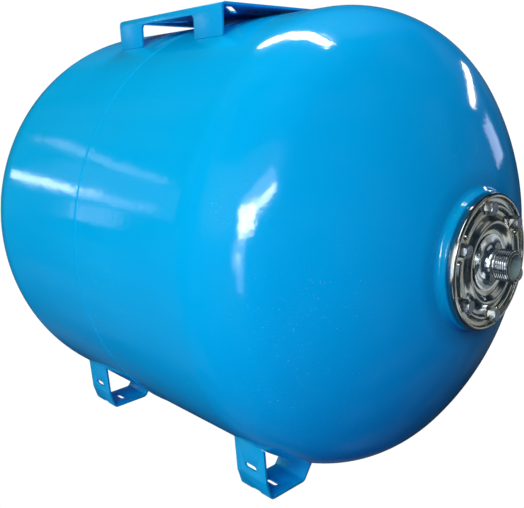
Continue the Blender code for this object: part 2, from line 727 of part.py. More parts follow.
def make_bracket(group, cutters, material):
    top = TANK_RADIUS + BRACKET_TOP_RISE
    low = math.sqrt((TANK_RADIUS + GAP) ** 2 - BRACKET_HALF_WIDTH ** 2) - 2.0 * BRACKET_SHEET
    w = BRACKET_HALF_WIDTH
    path = rounded_path([(-w, low), (-w, top), (w, top), (w, low)], BRACKET_BEND + BRACKET_SHEET, 4)
    outline = sheet_outline(path, -BRACKET_SHEET)
    bracket = extruded("pump_bracket", outline, BRACKET_HALF_LENGTH, group, material)
    bracket.location = (-MIDDLE_X, 0.0, AXIS_HEIGHT)
    window = window_cutter(top, cutters)
    boolean(bracket, window, "DIFFERENCE")
    depth = 6.0 * BRACKET_SHEET
    slots = []
    for sx in (-1.0, 1.0):
        for sy in (-1.0, 1.0):
            slot = stadium("bracket_slot", BRACKET_SLOT_LENGTH, BRACKET_SLOT_WIDTH, depth, cutters)
            slot.location = (sx * BRACKET_SLOT_X - MIDDLE_X, sy * BRACKET_SLOT_Y, AXIS_HEIGHT + top)
            slot.rotation_euler = (0.0, 0.0, math.atan2(sy * BRACKET_SLOT_Y, sx * BRACKET_SLOT_X))
            slots.append(slot)
    slots = as_cutter(mesh_object("bracket_slots", merged_mesh("bracket_slots", slots), cutters))
    boolean(bracket, slots, "DIFFERENCE")
    boolean(bracket, tank_cutter("bracket_seat", cutters), "DIFFERENCE")
    shade(bracket)
    return bracket


def window_cutter(top, cutters):
    """The window through both side plates: open at the tank, with round upper corners."""
    half = BRACKET_WINDOW_HALF
    head = top - BRACKET_WINDOW_STRIP
    foot = top - 3.0 * BRACKET_HALF_WIDTH / 4.0
    corners = [(-half, foot), (-half, head), (half, head), (half, foot)]
    path = rounded_path(corners, BRACKET_WINDOW_CORNER, 3)
    window = extruded("bracket_window", path, BRACKET_HALF_WIDTH + 4.0 * BRACKET_SHEET, cutters)
    window.rotation_euler = (0.0, 0.0, math.pi / 2.0)
    window.location = (-MIDDLE_X, 0.0, AXIS_HEIGHT)
    return as_cutter(window)


def tank_cutter(name, cutters):
    """The tank's barrel with a clearance, for ends that are shaped to it."""
    half = HALF_STRAIGHT + KNUCKLE_RADIUS
    barrel = cylinder(name, TANK_RADIUS + GAP, -half, half, cutters, ROUND_STEPS)
    return as_cutter(lay_along_x(barrel))


def foot_path():
    """Outer side of a foot's strip, from the near leg's top round the base to the far leg's top."""
    floor = -AXIS_HEIGHT
    near_top = -math.sqrt(TANK_RADIUS ** 2 - FOOT_NEAR_LEG_TOP_Y ** 2) + 2.0 * FOOT_SHEET
    far_top = -math.sqrt(TANK_RADIUS ** 2 - FOOT_FAR_LEG_TOP_Y ** 2) + 2.0 * FOOT_SHEET
    far_y = FOOT_FAR_LEG_TOP_Y
    corners = [(-FOOT_NEAR_LEG_TOP_Y, near_top),
               (-FOOT_NEAR_LEG_Y, floor + FOOT_NEAR_LEG_KINK),
               (-FOOT_BASE_OUTER_Y, floor),
               (-FOOT_BASE_INNER_Y, floor),
               (-far_y, far_top)]
    return rounded_path(corners, FOOT_BEND + FOOT_SHEET, 3)


def make_foot(name, side_x, side_y, group, cutters, material):
    outline = sheet_outline(foot_path(), FOOT_SHEET)
    if side_y > 0.0:
        outline = [(-y, z) for y, z in reversed(outline)]
    foot = extruded(name, outline, FOOT_WIDTH / 2.0, group, material)
    foot.location = (side_x * FOOT_X - MIDDLE_X, 0.0, AXIS_HEIGHT)
    slots = foot_slots(name, side_x, side_y, cutters)
    boolean(foot, slots, "DIFFERENCE")
    boolean(foot, tank_cutter(name + "_seat", cutters), "DIFFERENCE")
    shade(foot)
    return foot


def foot_slots(name, side_x, side_y, cutters):
    """Slots in the leg, across the bend and in the base."""
    middle = (side_x * FOOT_X - MIDDLE_X, 0.0, 0.0)
    depth = 6.0 * FOOT_SHEET
    base = stadium(name + "_base_slot", FOOT_SLOT_LENGTH, FOOT_SLOT_WIDTH, depth, cutters)
    base.location = (middle[0], side_y * FOOT_BASE_SLOT_Y, 0.0)
    leg = stadium(name + "_leg_slot", FOOT_SLOT_LENGTH, FOOT_SLOT_WIDTH, depth, cutters)
    leg.location = (middle[0], side_y * FOOT_NEAR_LEG_Y, FOOT_LEG_SLOT_HEIGHT)
    leg.rotation_euler = (math.pi / 2.0, 0.0, 0.0)
    bend = stadium(name + "_bend_slot", FOOT_BEND_SLOT_LENGTH, FOOT_BEND_SLOT_WIDTH, depth, cutters)
    bend.location = (middle[0], side_y * FOOT_BASE_OUTER_Y, FOOT_SHEET)
    bend.rotation_euler = (side_y * math.radians(55.0), 0.0, 0.0)
    mesh = merged_mesh(name + "_slots", [base, leg, bend])
    return as_cutter(mesh_object(name + "_slots", mesh, cutters))


# Air valve at the rear pole


def make_valve_stem(group, material):
    low = POLE - VALVE_HEAD_DEPTH - VALVE_HEAD_HEIGHT
    profile = [(VALVE_STEM_RADIUS - VALVE_TIP_CHAMFER, VALVE_TIP),
               (VALVE_STEM_RADIUS, VALVE_TIP - VALVE_TIP_CHAMFER),
               (VALVE_STEM_RADIUS, VALVE_OUTER + VALVE_SHOULDER_LENGTH),
               (VALVE_SHOULDER_RADIUS, VALVE_OUTER + VALVE_SHOULDER_LENGTH - VALVE_SHOULDER_CHAMFER),
               (VALVE_SHOULDER_RADIUS, POLE - VALVE_HEAD_DEPTH),
               (VALVE_HEAD_RADIUS, POLE - VALVE_HEAD_DEPTH),
               (VALVE_HEAD_RADIUS, low),
               (VALVE_BORE, low),
               (VALVE_BORE, VALVE_TIP)]
    stem = lay_along_x(turned("valve_stem", profile, VALVE_STEPS, group, material), -1.0)
    shade(stem)
    return stem


def make_valve_seal(group, material):
    """The washer pressed against the outside of the rear pole."""
    bore = VALVE_SHOULDER_RADIUS + GAP
    profile = [(VALVE_SEAL_RADIUS, VALVE_OUTER + VALVE_SEAL_THICKNESS), (VALVE_SEAL_RADIUS, VALVE_OUTER),
               (bore, VALVE_OUTER), (bore, VALVE_OUTER + VALVE_SEAL_THICKNESS)]
    seal = lay_along_x(turned("valve_seal", profile, VALVE_STEPS, group, material), -1.0)
    shade(seal)
    return seal


def make_valve_nut(group, cutters, material):
    low = VALVE_OUTER + VALVE_SEAL_THICKNESS + GAP
    radius = VALVE_NUT_ACROSS_FLATS / 2.0 / math.cos(math.pi / 6.0)
    nut = cylinder("valve_nut", radius, low, low + VALVE_NUT_HEIGHT, group, 6)
    nut.data.materials.append(material)
    bore = cylinder("valve_nut_bore", VALVE_SHOULDER_RADIUS + GAP, low - GAP, low + 2.0 * VALVE_NUT_HEIGHT,
                    cutters, VALVE_STEPS)
    lay_along_x(nut, -1.0)
    as_cutter(lay_along_x(bore, -1.0))
    boolean(nut, bore, "DIFFERENCE")
    shade(nut)
    return nut


def make_valve_core(group, material):
    high = VALVE_TIP - VALVE_CORE_SINK
    low = high - VALVE_CORE_LENGTH
    profile = [(VALVE_CORE_RADIUS, high), (VALVE_CORE_RADIUS, low),
               (VALVE_CORE_BORE, low), (VALVE_CORE_BORE, high)]
    core = lay_along_x(turned("valve_core", profile, HOLE_STEPS, group, material), -1.0)
    shade(core)
    return core


def make_valve_pin(group, material):
    high = VALVE_TIP - VALVE_CORE_SINK + VALVE_PIN_REACH
    low = VALVE_TIP - VALVE_CORE_SINK - VALVE_CORE_LENGTH - GAP
    profile = [(0.0, high), (VALVE_PIN_RADIUS, high), (VALVE_PIN_RADIUS, low), (VALVE_POPPET_RADIUS, low),
               (VALVE_POPPET_RADIUS, low - VALVE_POPPET_HEIGHT), (0.0, low - VALVE_POPPET_HEIGHT)]
    pin = lay_along_x(turned("valve_pin", profile, HOLE_STEPS, group, material, False), -1.0)
    shade(pin)
    return pin


def make_valve_cap(group, cutters, material):
    bore = VALVE_STEM_RADIUS + VALVE_CAP_WALL_GAP
    low = VALVE_TIP - VALVE_CAP_DEPTH
    profile = [(0.0, CAP_TIP),
               (VALVE_CAP_RADIUS - VALVE_CAP_CHAMFER, CAP_TIP),
               (VALVE_CAP_RADIUS, CAP_TIP - VALVE_CAP_CHAMFER),
               (VALVE_CAP_RADIUS, low),
               (bore, low),
               (bore, VALVE_TIP + GAP),
               (0.0, VALVE_TIP + GAP)]
    cap = lay_along_x(turned("valve_cap", profile, VALVE_STEPS, group, material, False), -1.0)
    flutes = []
    start = -CAP_TIP - VALVE_CAP_FLUTE_OVERRUN
    end = VALVE_CAP_FLUTE_OVERRUN - low
    for index in range(VALVE_CAP_FLUTES):
        angle = 2.0 * math.pi * index / VALVE_CAP_FLUTES
        flute = cylinder(f"cap_flute_{index}", 2.0 * VALVE_CAP_FLUTE_DEPTH, start, end, cutters, 8)
        reach = VALVE_CAP_RADIUS + VALVE_CAP_FLUTE_DEPTH
        flutes.append(around_axis(flute, angle, reach))
    flutes = as_cutter(mesh_object("cap_flutes", merged_mesh("cap_flutes", flutes), cutters))
    boolean(cap, flutes, "DIFFERENCE")
    shade(cap)
    return cap


def main():
    clear_scene()
    group = new_collection(COLLECTION)
    cutters = new_collection(CUTTERS)
    mats = make_materials()
    make_front_shell(group, cutters, mats["paint"])
    make_rear_shell(group, mats["paint"])
    make_girth_weld(group, mats["paint"])
    make_neck_ring(group, cutters, mats["inside"])
    make_membrane(group, mats["rubber"])
    make_flange(group, cutters, mats["zinc"])
    make_nipple(group, mats["bright"])
    make_bolts(group, mats["bright"])
    make_bracket(group, cutters, mats["paint"])
    for end, side_x in (("front", 1.0), ("rear", -1.0)):
        for flank, side_y in (("near", -1.0), ("far", 1.0)):
            make_foot(f"foot_{end}_{flank}", side_x, side_y, group, cutters, mats["paint"])
    make_valve_stem(group, mats["brass"])
    make_valve_seal(group, mats["rubber"])
    make_valve_nut(group, cutters, mats["brass"])
    make_valve_core(group, mats["brass"])
    make_valve_pin(group, mats["brass"])
    make_valve_cap(group, cutters, mats["plastic"])


main()
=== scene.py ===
"""Looks of the well pressure tank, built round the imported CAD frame.

Lengths are in metres. The tank's axis runs along X, the flanged water connection is at +X and Z is up.
Round pieces are made from profiles of (radius, place along the axis), measured from the vessel's middle.
"""

import json
import math

import bmesh
import bpy
import numpy as np
from mathutils import Matrix, Vector

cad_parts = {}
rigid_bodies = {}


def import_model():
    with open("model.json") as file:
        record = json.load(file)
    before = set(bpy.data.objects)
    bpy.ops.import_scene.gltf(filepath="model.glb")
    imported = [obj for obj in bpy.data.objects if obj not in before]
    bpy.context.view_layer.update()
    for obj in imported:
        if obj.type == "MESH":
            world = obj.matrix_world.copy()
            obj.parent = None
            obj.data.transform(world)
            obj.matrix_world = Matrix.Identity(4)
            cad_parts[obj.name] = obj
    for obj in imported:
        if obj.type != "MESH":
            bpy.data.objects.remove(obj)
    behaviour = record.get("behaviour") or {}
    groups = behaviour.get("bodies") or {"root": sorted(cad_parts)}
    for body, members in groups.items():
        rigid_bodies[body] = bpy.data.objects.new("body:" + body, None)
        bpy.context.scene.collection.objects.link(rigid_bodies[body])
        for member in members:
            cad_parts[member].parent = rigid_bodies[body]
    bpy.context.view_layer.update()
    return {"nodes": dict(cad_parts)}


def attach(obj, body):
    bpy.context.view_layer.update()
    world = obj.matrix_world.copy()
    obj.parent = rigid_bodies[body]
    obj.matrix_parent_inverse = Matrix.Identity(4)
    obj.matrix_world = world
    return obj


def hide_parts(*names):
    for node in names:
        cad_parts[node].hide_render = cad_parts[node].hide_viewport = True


MM = 0.001

# The same sizes as in the CAD
TANK_RADIUS = 275.0 * MM
WALL = 2.0 * MM
HALF_STRAIGHT = 194.0 * MM
KNUCKLE_RADIUS = 123.0 * MM
CROWN_RADIUS = 369.0 * MM
BELLY_CLEARANCE = 10.6 * MM
WELD_ROOT = 1.6 * MM
WELD_HALF_WIDTH = 2.8 * MM
WELD_CROWN = 0.9 * MM
NECK_RADIUS = 75.0 * MM
NECK_FILLET = 7.0 * MM
NECK_EDGE_RADIUS = 2.5 * MM
NECK_RISE = 8.7 * MM
NECK_OPENING = 46.0 * MM
FLANGE_RADIUS = 73.1 * MM
FLANGE_SHEET = 2.4 * MM
FLANGE_RIM_HEIGHT = 9.5 * MM
FLANGE_RIM_ROUND = 3.4 * MM
FLANGE_RIM_WIDTH = 5.2 * MM
FLANGE_FOOT_ROUND = 1.9 * MM
FLANGE_GROOVE_ROUND = 1.2 * MM
FLANGE_FACE_HEIGHT = 5.5 * MM
FLANGE_FLOOR_HEIGHT = 5.4 * MM
FLANGE_CREST_RADIUS = 42.7 * MM
FLANGE_CREST_HEIGHT = 11.4 * MM
FLANGE_CREST_SPREAD = 9.5 * MM
FLANGE_CREST_INNER_SPREAD = 9.0 * MM
FLANGE_HOLE = 28.4 * MM
RIB_CENTRE_RADIUS = 59.2 * MM
RIB_HALF_WIDTH = 3.3 * MM
RIB_RISE = 3.4 * MM
RIB_SPAN = math.radians(32.0)
BOLT_COUNT = 6
BOLT_CIRCLE = 59.0 * MM
BOLT_PHASE = math.radians(97.5)
BOLT_HEAD_ACROSS_FLATS = 13.0 * MM
BOLT_HEAD_HEIGHT = 8.6 * MM
BOLT_SHANK = 3.9 * MM
NIPPLE_THREAD_RADIUS = 16.6 * MM
NIPPLE_BORE = 12.5 * MM
NIPPLE_LENGTH = 28.8 * MM
NIPPLE_THREAD_LENGTH = 16.4 * MM
NIPPLE_RELIEF = 0.9 * MM
NIPPLE_CHAMFER = 1.4 * MM
NIPPLE_FLARE_RADIUS = 30.0 * MM
NIPPLE_FLARE_EDGE = 1.0 * MM
NIPPLE_SPIGOT_DEPTH = 4.0 * MM
BRACKET_SHEET = 3.0 * MM
BRACKET_HALF_WIDTH = 124.0 * MM
BRACKET_HALF_LENGTH = 108.0 * MM
BRACKET_TOP_RISE = 8.1 * MM
BRACKET_BEND = 3.2 * MM
BRACKET_WINDOW_HALF = 55.5 * MM
BRACKET_WINDOW_STRIP = 9.4 * MM
BRACKET_WINDOW_CORNER = 6.0 * MM
BRACKET_SLOT_X = 69.5 * MM
BRACKET_SLOT_Y = 77.0 * MM
BRACKET_SLOT_LENGTH = 62.0 * MM
BRACKET_SLOT_WIDTH = 8.5 * MM
FOOT_SHEET = 3.0 * MM
FOOT_WIDTH = 51.0 * MM
FOOT_X = 175.8 * MM
FOOT_NEAR_LEG_TOP_Y = 169.5 * MM
FOOT_NEAR_LEG_Y = 166.6 * MM
FOOT_NEAR_LEG_KINK = 24.0 * MM
FOOT_BASE_OUTER_Y = 159.5 * MM
FOOT_BASE_INNER_Y = 102.5 * MM
FOOT_FAR_LEG_TOP_Y = 82.0 * MM
FOOT_BEND = 5.0 * MM
FOOT_SLOT_LENGTH = 20.0 * MM
FOOT_SLOT_WIDTH = 7.0 * MM
FOOT_LEG_SLOT_HEIGHT = 37.0 * MM
FOOT_BASE_SLOT_Y = 134.0 * MM
FOOT_BEND_SLOT_LENGTH = 18.0 * MM
FOOT_BEND_SLOT_WIDTH = 8.0 * MM
VALVE_HOLE = 5.3 * MM
VALVE_STEM_LENGTH = 22.0 * MM
VALVE_CAP_END = 2.5 * MM
GAP = 0.3 * MM

# Sizes that only the looks have
THREAD_PITCH = 2.309 * MM
THREAD_DEPTH = 1.35 * MM
THREAD_ROOT = 14.9 * MM
# Depth below the thread's crest where the painted shade in its grooves ends.
THREAD_SHADE_END_DEPTH = 0.85 * MM
THREAD_FADE = 0.8 * THREAD_PITCH
THREAD_FLANK = 0.8
THREAD_STEPS_PER_TURN = 12.0
NIPPLE_BORE_DULL_START = 0.2 * MM
NIPPLE_BORE_DULL_END = 0.5 * MM
NIPPLE_WALL_AT_SPIGOT = 2.4 * MM
NIPPLE_FLARE_START = 1.6 * NIPPLE_RELIEF
FUNNEL_SHARE = 0.9
FUNNEL_SHIFT = 1.0 * MM
FLANGE_SKIRT = 0.4 * FLANGE_SHEET
NECK_SHADE_START = 1.0 * MM
NECK_SHADE_END = 24.0 * MM
WELD_SPREAD = 1.3
WELD_SINK = 0.2 * MM
WELD_LOWERED = 0.38 * MM
WELD_RIPPLE = 0.03 * MM
WELD_RIPPLES = 288.0
WELD_WANDER = 0.2 * MM
WELD_WANDERS = 7.0
RIB_SPREAD = 1.15
RIB_FLANK = 0.8
RIB_REACH = 66.5 * MM
PIT_ANGLE = math.radians(-170.0)
PIT_RADIUS = 64.6 * MM
PIT_WIDTH = 1.5 * MM
PIT_DEPTH = 0.9 * MM
BOLT_CROWN_SHARE = 0.93
BOLT_CROWN_SLOPE = math.radians(30.0)
BOLT_COLLAR_SHARE = 0.97
BOLT_COLLAR_HEIGHT = 0.3 * MM
BOLT_FLATS_START = 0.35 * MM
BOLT_DISH = 0.25 * MM
BOLT_DISH_FLOOR_SHARE = 0.55
BOLT_DISH_RIM_SHARE = 0.72
BOLT_SHANK_REACH = 8.0 * MM
BOLT_TURNS = (11.0, 26.0, 35.0, 12.0, 31.0, 25.0)
STRIP_EDGE = 0.35 * MM
VALVE_EDGE = 0.2 * MM
FOOT_BEND_SLOT_TURN = math.radians(55.0)
FINE_COLUMNS = 288
FLANGE_COLUMNS = 72 * BOLT_COUNT
NIPPLE_COLUMNS = 96
BOLT_COLUMNS = 72
SLOT_SIDES = 32
LEAST_STEP = 1e-6
MERGE_DISTANCE = 5e-7

AXIS_HEIGHT = TANK_RADIUS + BELLY_CLEARANCE
CROWN_HALF_ANGLE = math.asin((TANK_RADIUS - KNUCKLE_RADIUS) / (CROWN_RADIUS - KNUCKLE_RADIUS))
CROWN_CENTRE = HALF_STRAIGHT - (CROWN_RADIUS - KNUCKLE_RADIUS) * math.cos(CROWN_HALF_ANGLE)
POLE = CROWN_CENTRE + CROWN_RADIUS
SEAT = CROWN_CENTRE + math.sqrt(CROWN_RADIUS ** 2 - NECK_RADIUS ** 2) + NECK_RISE
FLANGE_FOOT = SEAT + GAP
FLANGE_FACE = SEAT + FLANGE_FACE_HEIGHT
FLANGE_FLOOR = SEAT + FLANGE_FLOOR_HEIGHT
NIPPLE_BASE = FLANGE_FLOOR + GAP
NIPPLE_END = NIPPLE_BASE + NIPPLE_LENGTH
CAP_TIP = POLE + GAP + VALVE_STEM_LENGTH + GAP + VALVE_CAP_END
MIDDLE_X = (NIPPLE_END - CAP_TIP) / 2.0

# The photograph's camera, solved from the tank's outline
CAMERA_PLACE = (0.70587, -0.62747, 0.45882)
CAMERA_AZIMUTH = math.radians(47.52)
CAMERA_PITCH = math.radians(13.083)
CAMERA_ROLL = math.radians(-1.973)
CAMERA_LENS = 45.48
CAMERA_SENSOR = 36.0

# What the tank mirrors and what lights it
ROOM_NOISE_SCALE = 3.4
ROOM_NOISE_DETAIL = 3.0
ROOM_TONES = ((0.45, (0.012, 0.022, 0.035, 1.0)), (0.62, (0.055, 0.085, 0.115, 1.0)))
ROOM_GLOW = (0.03, 0.04, 0.06, 1.0)
BACKGROUND_GLOW = 1.02
WHITE = (1.0, 1.0, 1.0)
LILAC = (0.66, 0.72, 1.0)
PALE = (0.93, 0.97, 0.95)
COOL = (0.93, 0.97, 1.0)
SHOULDER = (0.265, -0.24, 0.35)
FACE = (0.38, 0.0, 0.29)
LEFT = (-0.09, -0.265, 0.365)
MIDDLE = (0.05, 0.0, 0.3)
PANELS = (
    # Group, name, azimuth, elevation, distance, width, height, glow, colour, roll and the point it faces.
    # Panels of the paint, metal and bolt groups are mirrored in those pieces only. Fills are not mirrored.
    ("paint", "window", 28.5, 14.8, 3.0, 0.74, 0.68, 22.0, WHITE, 12.0, SHOULDER),
    ("paint", "window_arm", 43.0, 22.0, 3.0, 1.05, 0.24, 16.0, WHITE, 27.0, SHOULDER),
    ("paint", "window_veil", 36.0, 24.0, 3.0, 1.65, 0.66, 3.6, LILAC, 34.0, SHOULDER),
    ("paint", "window_side", 24.0, 9.0, 3.0, 0.30, 0.42, 7.0, LILAC, 0.0, SHOULDER),
    ("paint", "window_column", 22.5, -1.0, 2.2, 0.42, 0.52, 3.2, LILAC, 0.0, SHOULDER),
    ("paint", "window_spot", 22.5, -2.0, 2.2, 0.20, 0.16, 9.0, LILAC, 0.0, SHOULDER),
    ("paint", "window_foot", 24.0, -13.0, 1.0, 0.11, 0.2, 3.0, LILAC, 0.0, SHOULDER),
    ("paint", "overhead", 232.0, 70.0, 2.3, 1.9, 0.16, 30.0, WHITE, -52.0, (0.1, 0.0, 0.35)),
    ("paint", "behind", 178.0, 18.0, 3.0, 0.95, 0.10, 20.0, WHITE, 0.0, (0.3, 0.06, 0.47)),
    ("paint", "behind_low", 173.0, 8.0, 3.0, 0.5, 0.5, 2.2, LILAC, 0.0, (0.34, 0.06, 0.41)),
    ("paint", "left_strip", -67.0, 8.4, 3.0, 0.52, 0.13, 7.0, LILAC, 0.0, LEFT),
    ("paint", "left_strip_far", -60.0, 8.0, 3.0, 0.55, 0.16, 1.5, LILAC, 0.0, LEFT),
    ("paint", "left_patch", -60.5, 2.2, 3.0, 0.26, 0.30, 1.3, LILAC, 0.0, (0.05, -0.27, 0.34)),
    ("paint", "left_high", -66.0, 18.4, 3.0, 0.9, 0.10, 1.6, LILAC, -8.0, (0.03, -0.25, 0.4)),
    ("paint", "left_haze", -60.0, 11.0, 3.0, 0.95, 0.62, 0.3, LILAC, 0.0, (0.0, -0.265, 0.37)),
    ("metal", "metal_window", 44.0, 20.0, 3.0, 1.5, 0.8, 4.5, WHITE, 0.0, FACE),
    ("metal", "metal_level", 47.0, -8.0, 3.0, 1.3, 0.8, 0.5, (0.8, 0.93, 1.0), 0.0, FACE),
    ("metal", "metal_front", 12.0, 5.0, 3.0, 0.9, 2.4, 3.4, COOL, 8.0, FACE),
    ("metal", "metal_high", 14.0, 56.0, 3.0, 1.2, 1.8, 3.2, COOL, 0.0, FACE),
    ("metal", "metal_low", 8.0, -40.0, 3.0, 1.2, 1.2, 0.7, (0.8, 0.86, 1.0), 0.0, FACE),
    ("metal", "metal_under", 98.0, -44.0, 3.0, 1.5, 1.0, 1.1, PALE, 0.0, FACE),
    ("metal", "metal_near", -22.0, 4.0, 3.0, 1.3, 2.8, 3.0, (0.9, 0.93, 1.0), 0.0, FACE),
    ("metal", "metal_side", 128.0, -16.0, 2.0, 0.22, 1.5, 0.7, PALE, 0.0, FACE),
    ("metal", "metal_side_2", 140.0, -8.0, 2.0, 0.12, 1.2, 1.2, PALE, 25.0, FACE),
    ("metal", "metal_side_3", 112.0, -20.0, 2.0, 0.20, 1.4, 0.6, PALE, -15.0, FACE),
    ("metal", "metal_side_4", 155.0, -5.0, 2.0, 0.25, 1.0, 0.5, PALE, 0.0, FACE),
    ("metal", "metal_back", 130.0, -10.0, 2.2, 2.6, 2.0, 0.24, (1.0, 0.98, 0.92), 0.0, FACE),
    ("metal", "metal_bounce", 29.0, 10.0, 3.0, 0.55, 2.6, 3.4, WHITE, 0.0, FACE),
    ("bolt", "bolt_near", -24.0, 6.0, 3.0, 1.6, 2.4, 1.5, (0.86, 0.95, 1.0), 0.0, FACE),
    ("bolt", "bolt_front", 6.0, 2.0, 3.0, 0.8, 2.4, 8.0, WHITE, 0.0, FACE),
    ("bolt", "bolt_edge", 92.0, -6.0, 3.0, 1.0, 1.4, 2.5, WHITE, 0.0, FACE),
    ("bolt", "bolt_end", 152.0, -13.0, 3.0, 1.6, 1.6, 0.12, (1.0, 0.92, 0.95), 0.0, FACE),
    ("metal", "metal_rear", 246.0, 20.0, 3.0, 1.8, 1.3, 1.4, WHITE, 0.0, (-0.38, 0.0, 0.29)),
    ("metal", "metal_top", 130.0, 35.0, 3.0, 1.6, 0.8, 0.5, WHITE, 0.0, FACE),
    ("fill", "front_fill", 0.0, 22.0, 4.0, 2.2, 2.0, 6.5, (0.8, 1.0, 0.36), 0.0, MIDDLE),
    ("fill", "side_fill", 36.0, 30.0, 4.0, 2.2, 2.0, 7.6, (0.74, 0.83, 1.0), 0.0, MIDDLE),
    ("fill", "rear_fill", 200.0, 55.0, 4.0, 2.2, 2.0, 12.4, (0.82, 0.88, 1.0), 0.0, MIDDLE),
    ("fill", "back_fill", 228.0, 4.0, 4.0, 2.2, 2.0, 4.0, (0.85, 0.88, 1.0), 0.0, MIDDLE),
    ("fill", "low_fill", -50.0, -30.0, 4.0, 2.2, 2.0, 1.6, (0.8, 0.7, 1.0), 0.0, MIDDLE),
    ("fill", "low_front_fill", 10.0, -15.0, 4.0, 2.2, 2.0, 2.7, (0.3, 0.14, 1.0), 0.0, MIDDLE),
)


# Materials


class Nodes:
    """A small helper that adds nodes to one material and links them."""

    def __init__(self, name):
        self.material = bpy.data.materials.new(name)
        self.material.use_nodes = True
        self.tree = self.material.node_tree
        self.shader = self.tree.nodes["Principled BSDF"]
        self.place = self.add("ShaderNodeTexCoord").outputs["Object"]

    def add(self, kind, **settings):
        node = self.tree.nodes.new(kind)
        for key, value in settings.items():
            setattr(node, key, value)
        return node

    def link(self, start, end):
        self.tree.links.new(start, end)

    def noise(self, scale, detail=2.0, roughness=0.5, stretch=None):
        node = self.add("ShaderNodeTexNoise")
        node.inputs["Scale"].default_value = scale
        node.inputs["Detail"].default_value = detail
        node.inputs["Roughness"].default_value = roughness
        if stretch is None:
            self.link(self.place, node.inputs["Vector"])
        else:
            mapping = self.add("ShaderNodeMapping")
            mapping.inputs["Scale"].default_value = stretch
            self.link(self.place, mapping.inputs["Vector"])
            self.link(mapping.outputs["Vector"], node.inputs["Vector"])
        return node.outputs["Fac"]

    def ramp(self, value, stops):
        node = self.add("ShaderNodeValToRGB")
        points = node.color_ramp.elements
        while len(points) < len(stops):
            points.new(0.5)
        for point, (position, colour) in zip(points, stops):
            point.position = position
            point.color = (*colour, 1.0)
        self.link(value, node.inputs["Fac"])
        return node.outputs["Color"]

    def spread(self, value, low, high, start=0.3, end=0.7):
        """Maps a value between start and end, such as a noise, to the range from low to high."""
        node = self.add("ShaderNodeMapRange")
        node.inputs["From Min"].default_value = start
        node.inputs["From Max"].default_value = end
        node.inputs["To Min"].default_value = low
        node.inputs["To Max"].default_value = high
        self.link(value, node.inputs["Value"])
        return node.outputs["Result"]

    def mix(self, share, first, second):
        node = self.add("ShaderNodeMix", data_type="RGBA")
        self.connect(share, node.inputs["Factor"])
        self.connect(first, node.inputs[6])
        self.connect(second, node.inputs[7])
        return node.outputs[2]

    def connect(self, value, socket):
        if isinstance(value, bpy.types.NodeSocket):
            self.link(value, socket)
        else:
            socket.default_value = value

    def bump(self, value, depth, before=None):
        """Adds relief of a real depth in metres, on top of earlier relief."""
        node = self.add("ShaderNodeBump")
        node.inputs["Strength"].default_value = 1.0
        node.inputs["Distance"].default_value = depth
        self.link(value, node.inputs["Height"])
        if before is not None:
            self.link(before, node.inputs["Normal"])
        return node.outputs["Normal"]

    def set(self, **values):
        for key, value in values.items():
            self.connect(value, self.shader.inputs[key.replace("_", " ")])


def make_paint(name="azure_paint", dull=0.0, low=(0.0, 0.39, 0.84), high=(0.0, 0.42, 0.89)):
    """The blue paint, with a little dust, and painted shade round the neck: a darker tone in the fillet next
    to the flange. The folded strips are duller.
    """
    m = Nodes(name)
    tone = m.ramp(m.noise(3.0, 3.0), [(0.3, low), (0.7, high)])
    speck = m.spread(m.noise(900.0, 1.0), 0.0, 1.0, 0.735, 0.76)
    dust = m.spread(m.noise(6.0, 2.0), 0.0, 1.0, 0.5, 0.62)
    grain = m.add("ShaderNodeMath", operation="MULTIPLY")
    m.link(speck, grain.inputs[0])
    m.link(dust, grain.inputs[1])
    # Painted shade: in a ring round the neck, out to NECK_SHADE_END, the paint blends into a darker blue that
    # stands in for shade in the fillet beside the flange.
    neck = m.add("ShaderNodeVectorMath", operation="DISTANCE")
    neck.inputs[1].default_value = (SEAT - MIDDLE_X, 0.0, AXIS_HEIGHT)
    m.link(m.place, neck.inputs[0])
    unshaded_share = m.spread(neck.outputs["Value"], 0.0, 1.0, NECK_RADIUS + NECK_SHADE_START,
                     NECK_RADIUS + NECK_SHADE_END)
    tone = m.mix(unshaded_share, (0.0, 0.27, 0.58, 1.0), tone)
    m.set(Base_Color=m.mix(grain.outputs[0], tone, (0.3, 0.6, 0.85, 1.0)))
    m.set(Roughness=m.spread(m.noise(14.0, 4.0), 0.06 + dull, 0.12 + dull))
    waves = m.bump(m.noise(11.0, 1.0), 0.0006)
    ripples = m.bump(m.noise(64.0, 2.0), 0.00009, waves)
    peel = m.bump(m.noise(190.0, 2.0), 0.00011, ripples)
    m.set(Normal=peel)
    return m.material


def make_zinc():
    m = Nodes("passivated_zinc")
    clouds = m.noise(38.0, 4.0, 0.6)
    tone = m.ramp(clouds, [(0.32, (0.34, 0.36, 0.35)), (0.46, (0.44, 0.47, 0.47)), (0.56, (0.47, 0.45, 0.36)),
                           (0.68, (0.38, 0.43, 0.46))])
    m.set(Base_Color=tone, Metallic=1.0, Roughness=m.spread(m.noise(120.0, 4.0), 0.12, 0.22))
    dents = m.bump(m.noise(150.0, 3.0), 0.00005)
    m.set(Normal=m.bump(m.noise(1400.0, 2.0), 0.00001, dents))
    return m.material


def make_bright():
    m = Nodes("bright_zinc")
    tone = m.ramp(m.noise(60.0, 3.0), [(0.35, (0.52, 0.57, 0.62)), (0.65, (0.72, 0.76, 0.80))])
    m.set(Base_Color=tone, Metallic=1.0, Roughness=m.spread(m.noise(240.0, 3.0), 0.22, 0.36))
    m.set(Normal=m.bump(m.noise(700.0, 2.0), 0.00002))
    return m.material


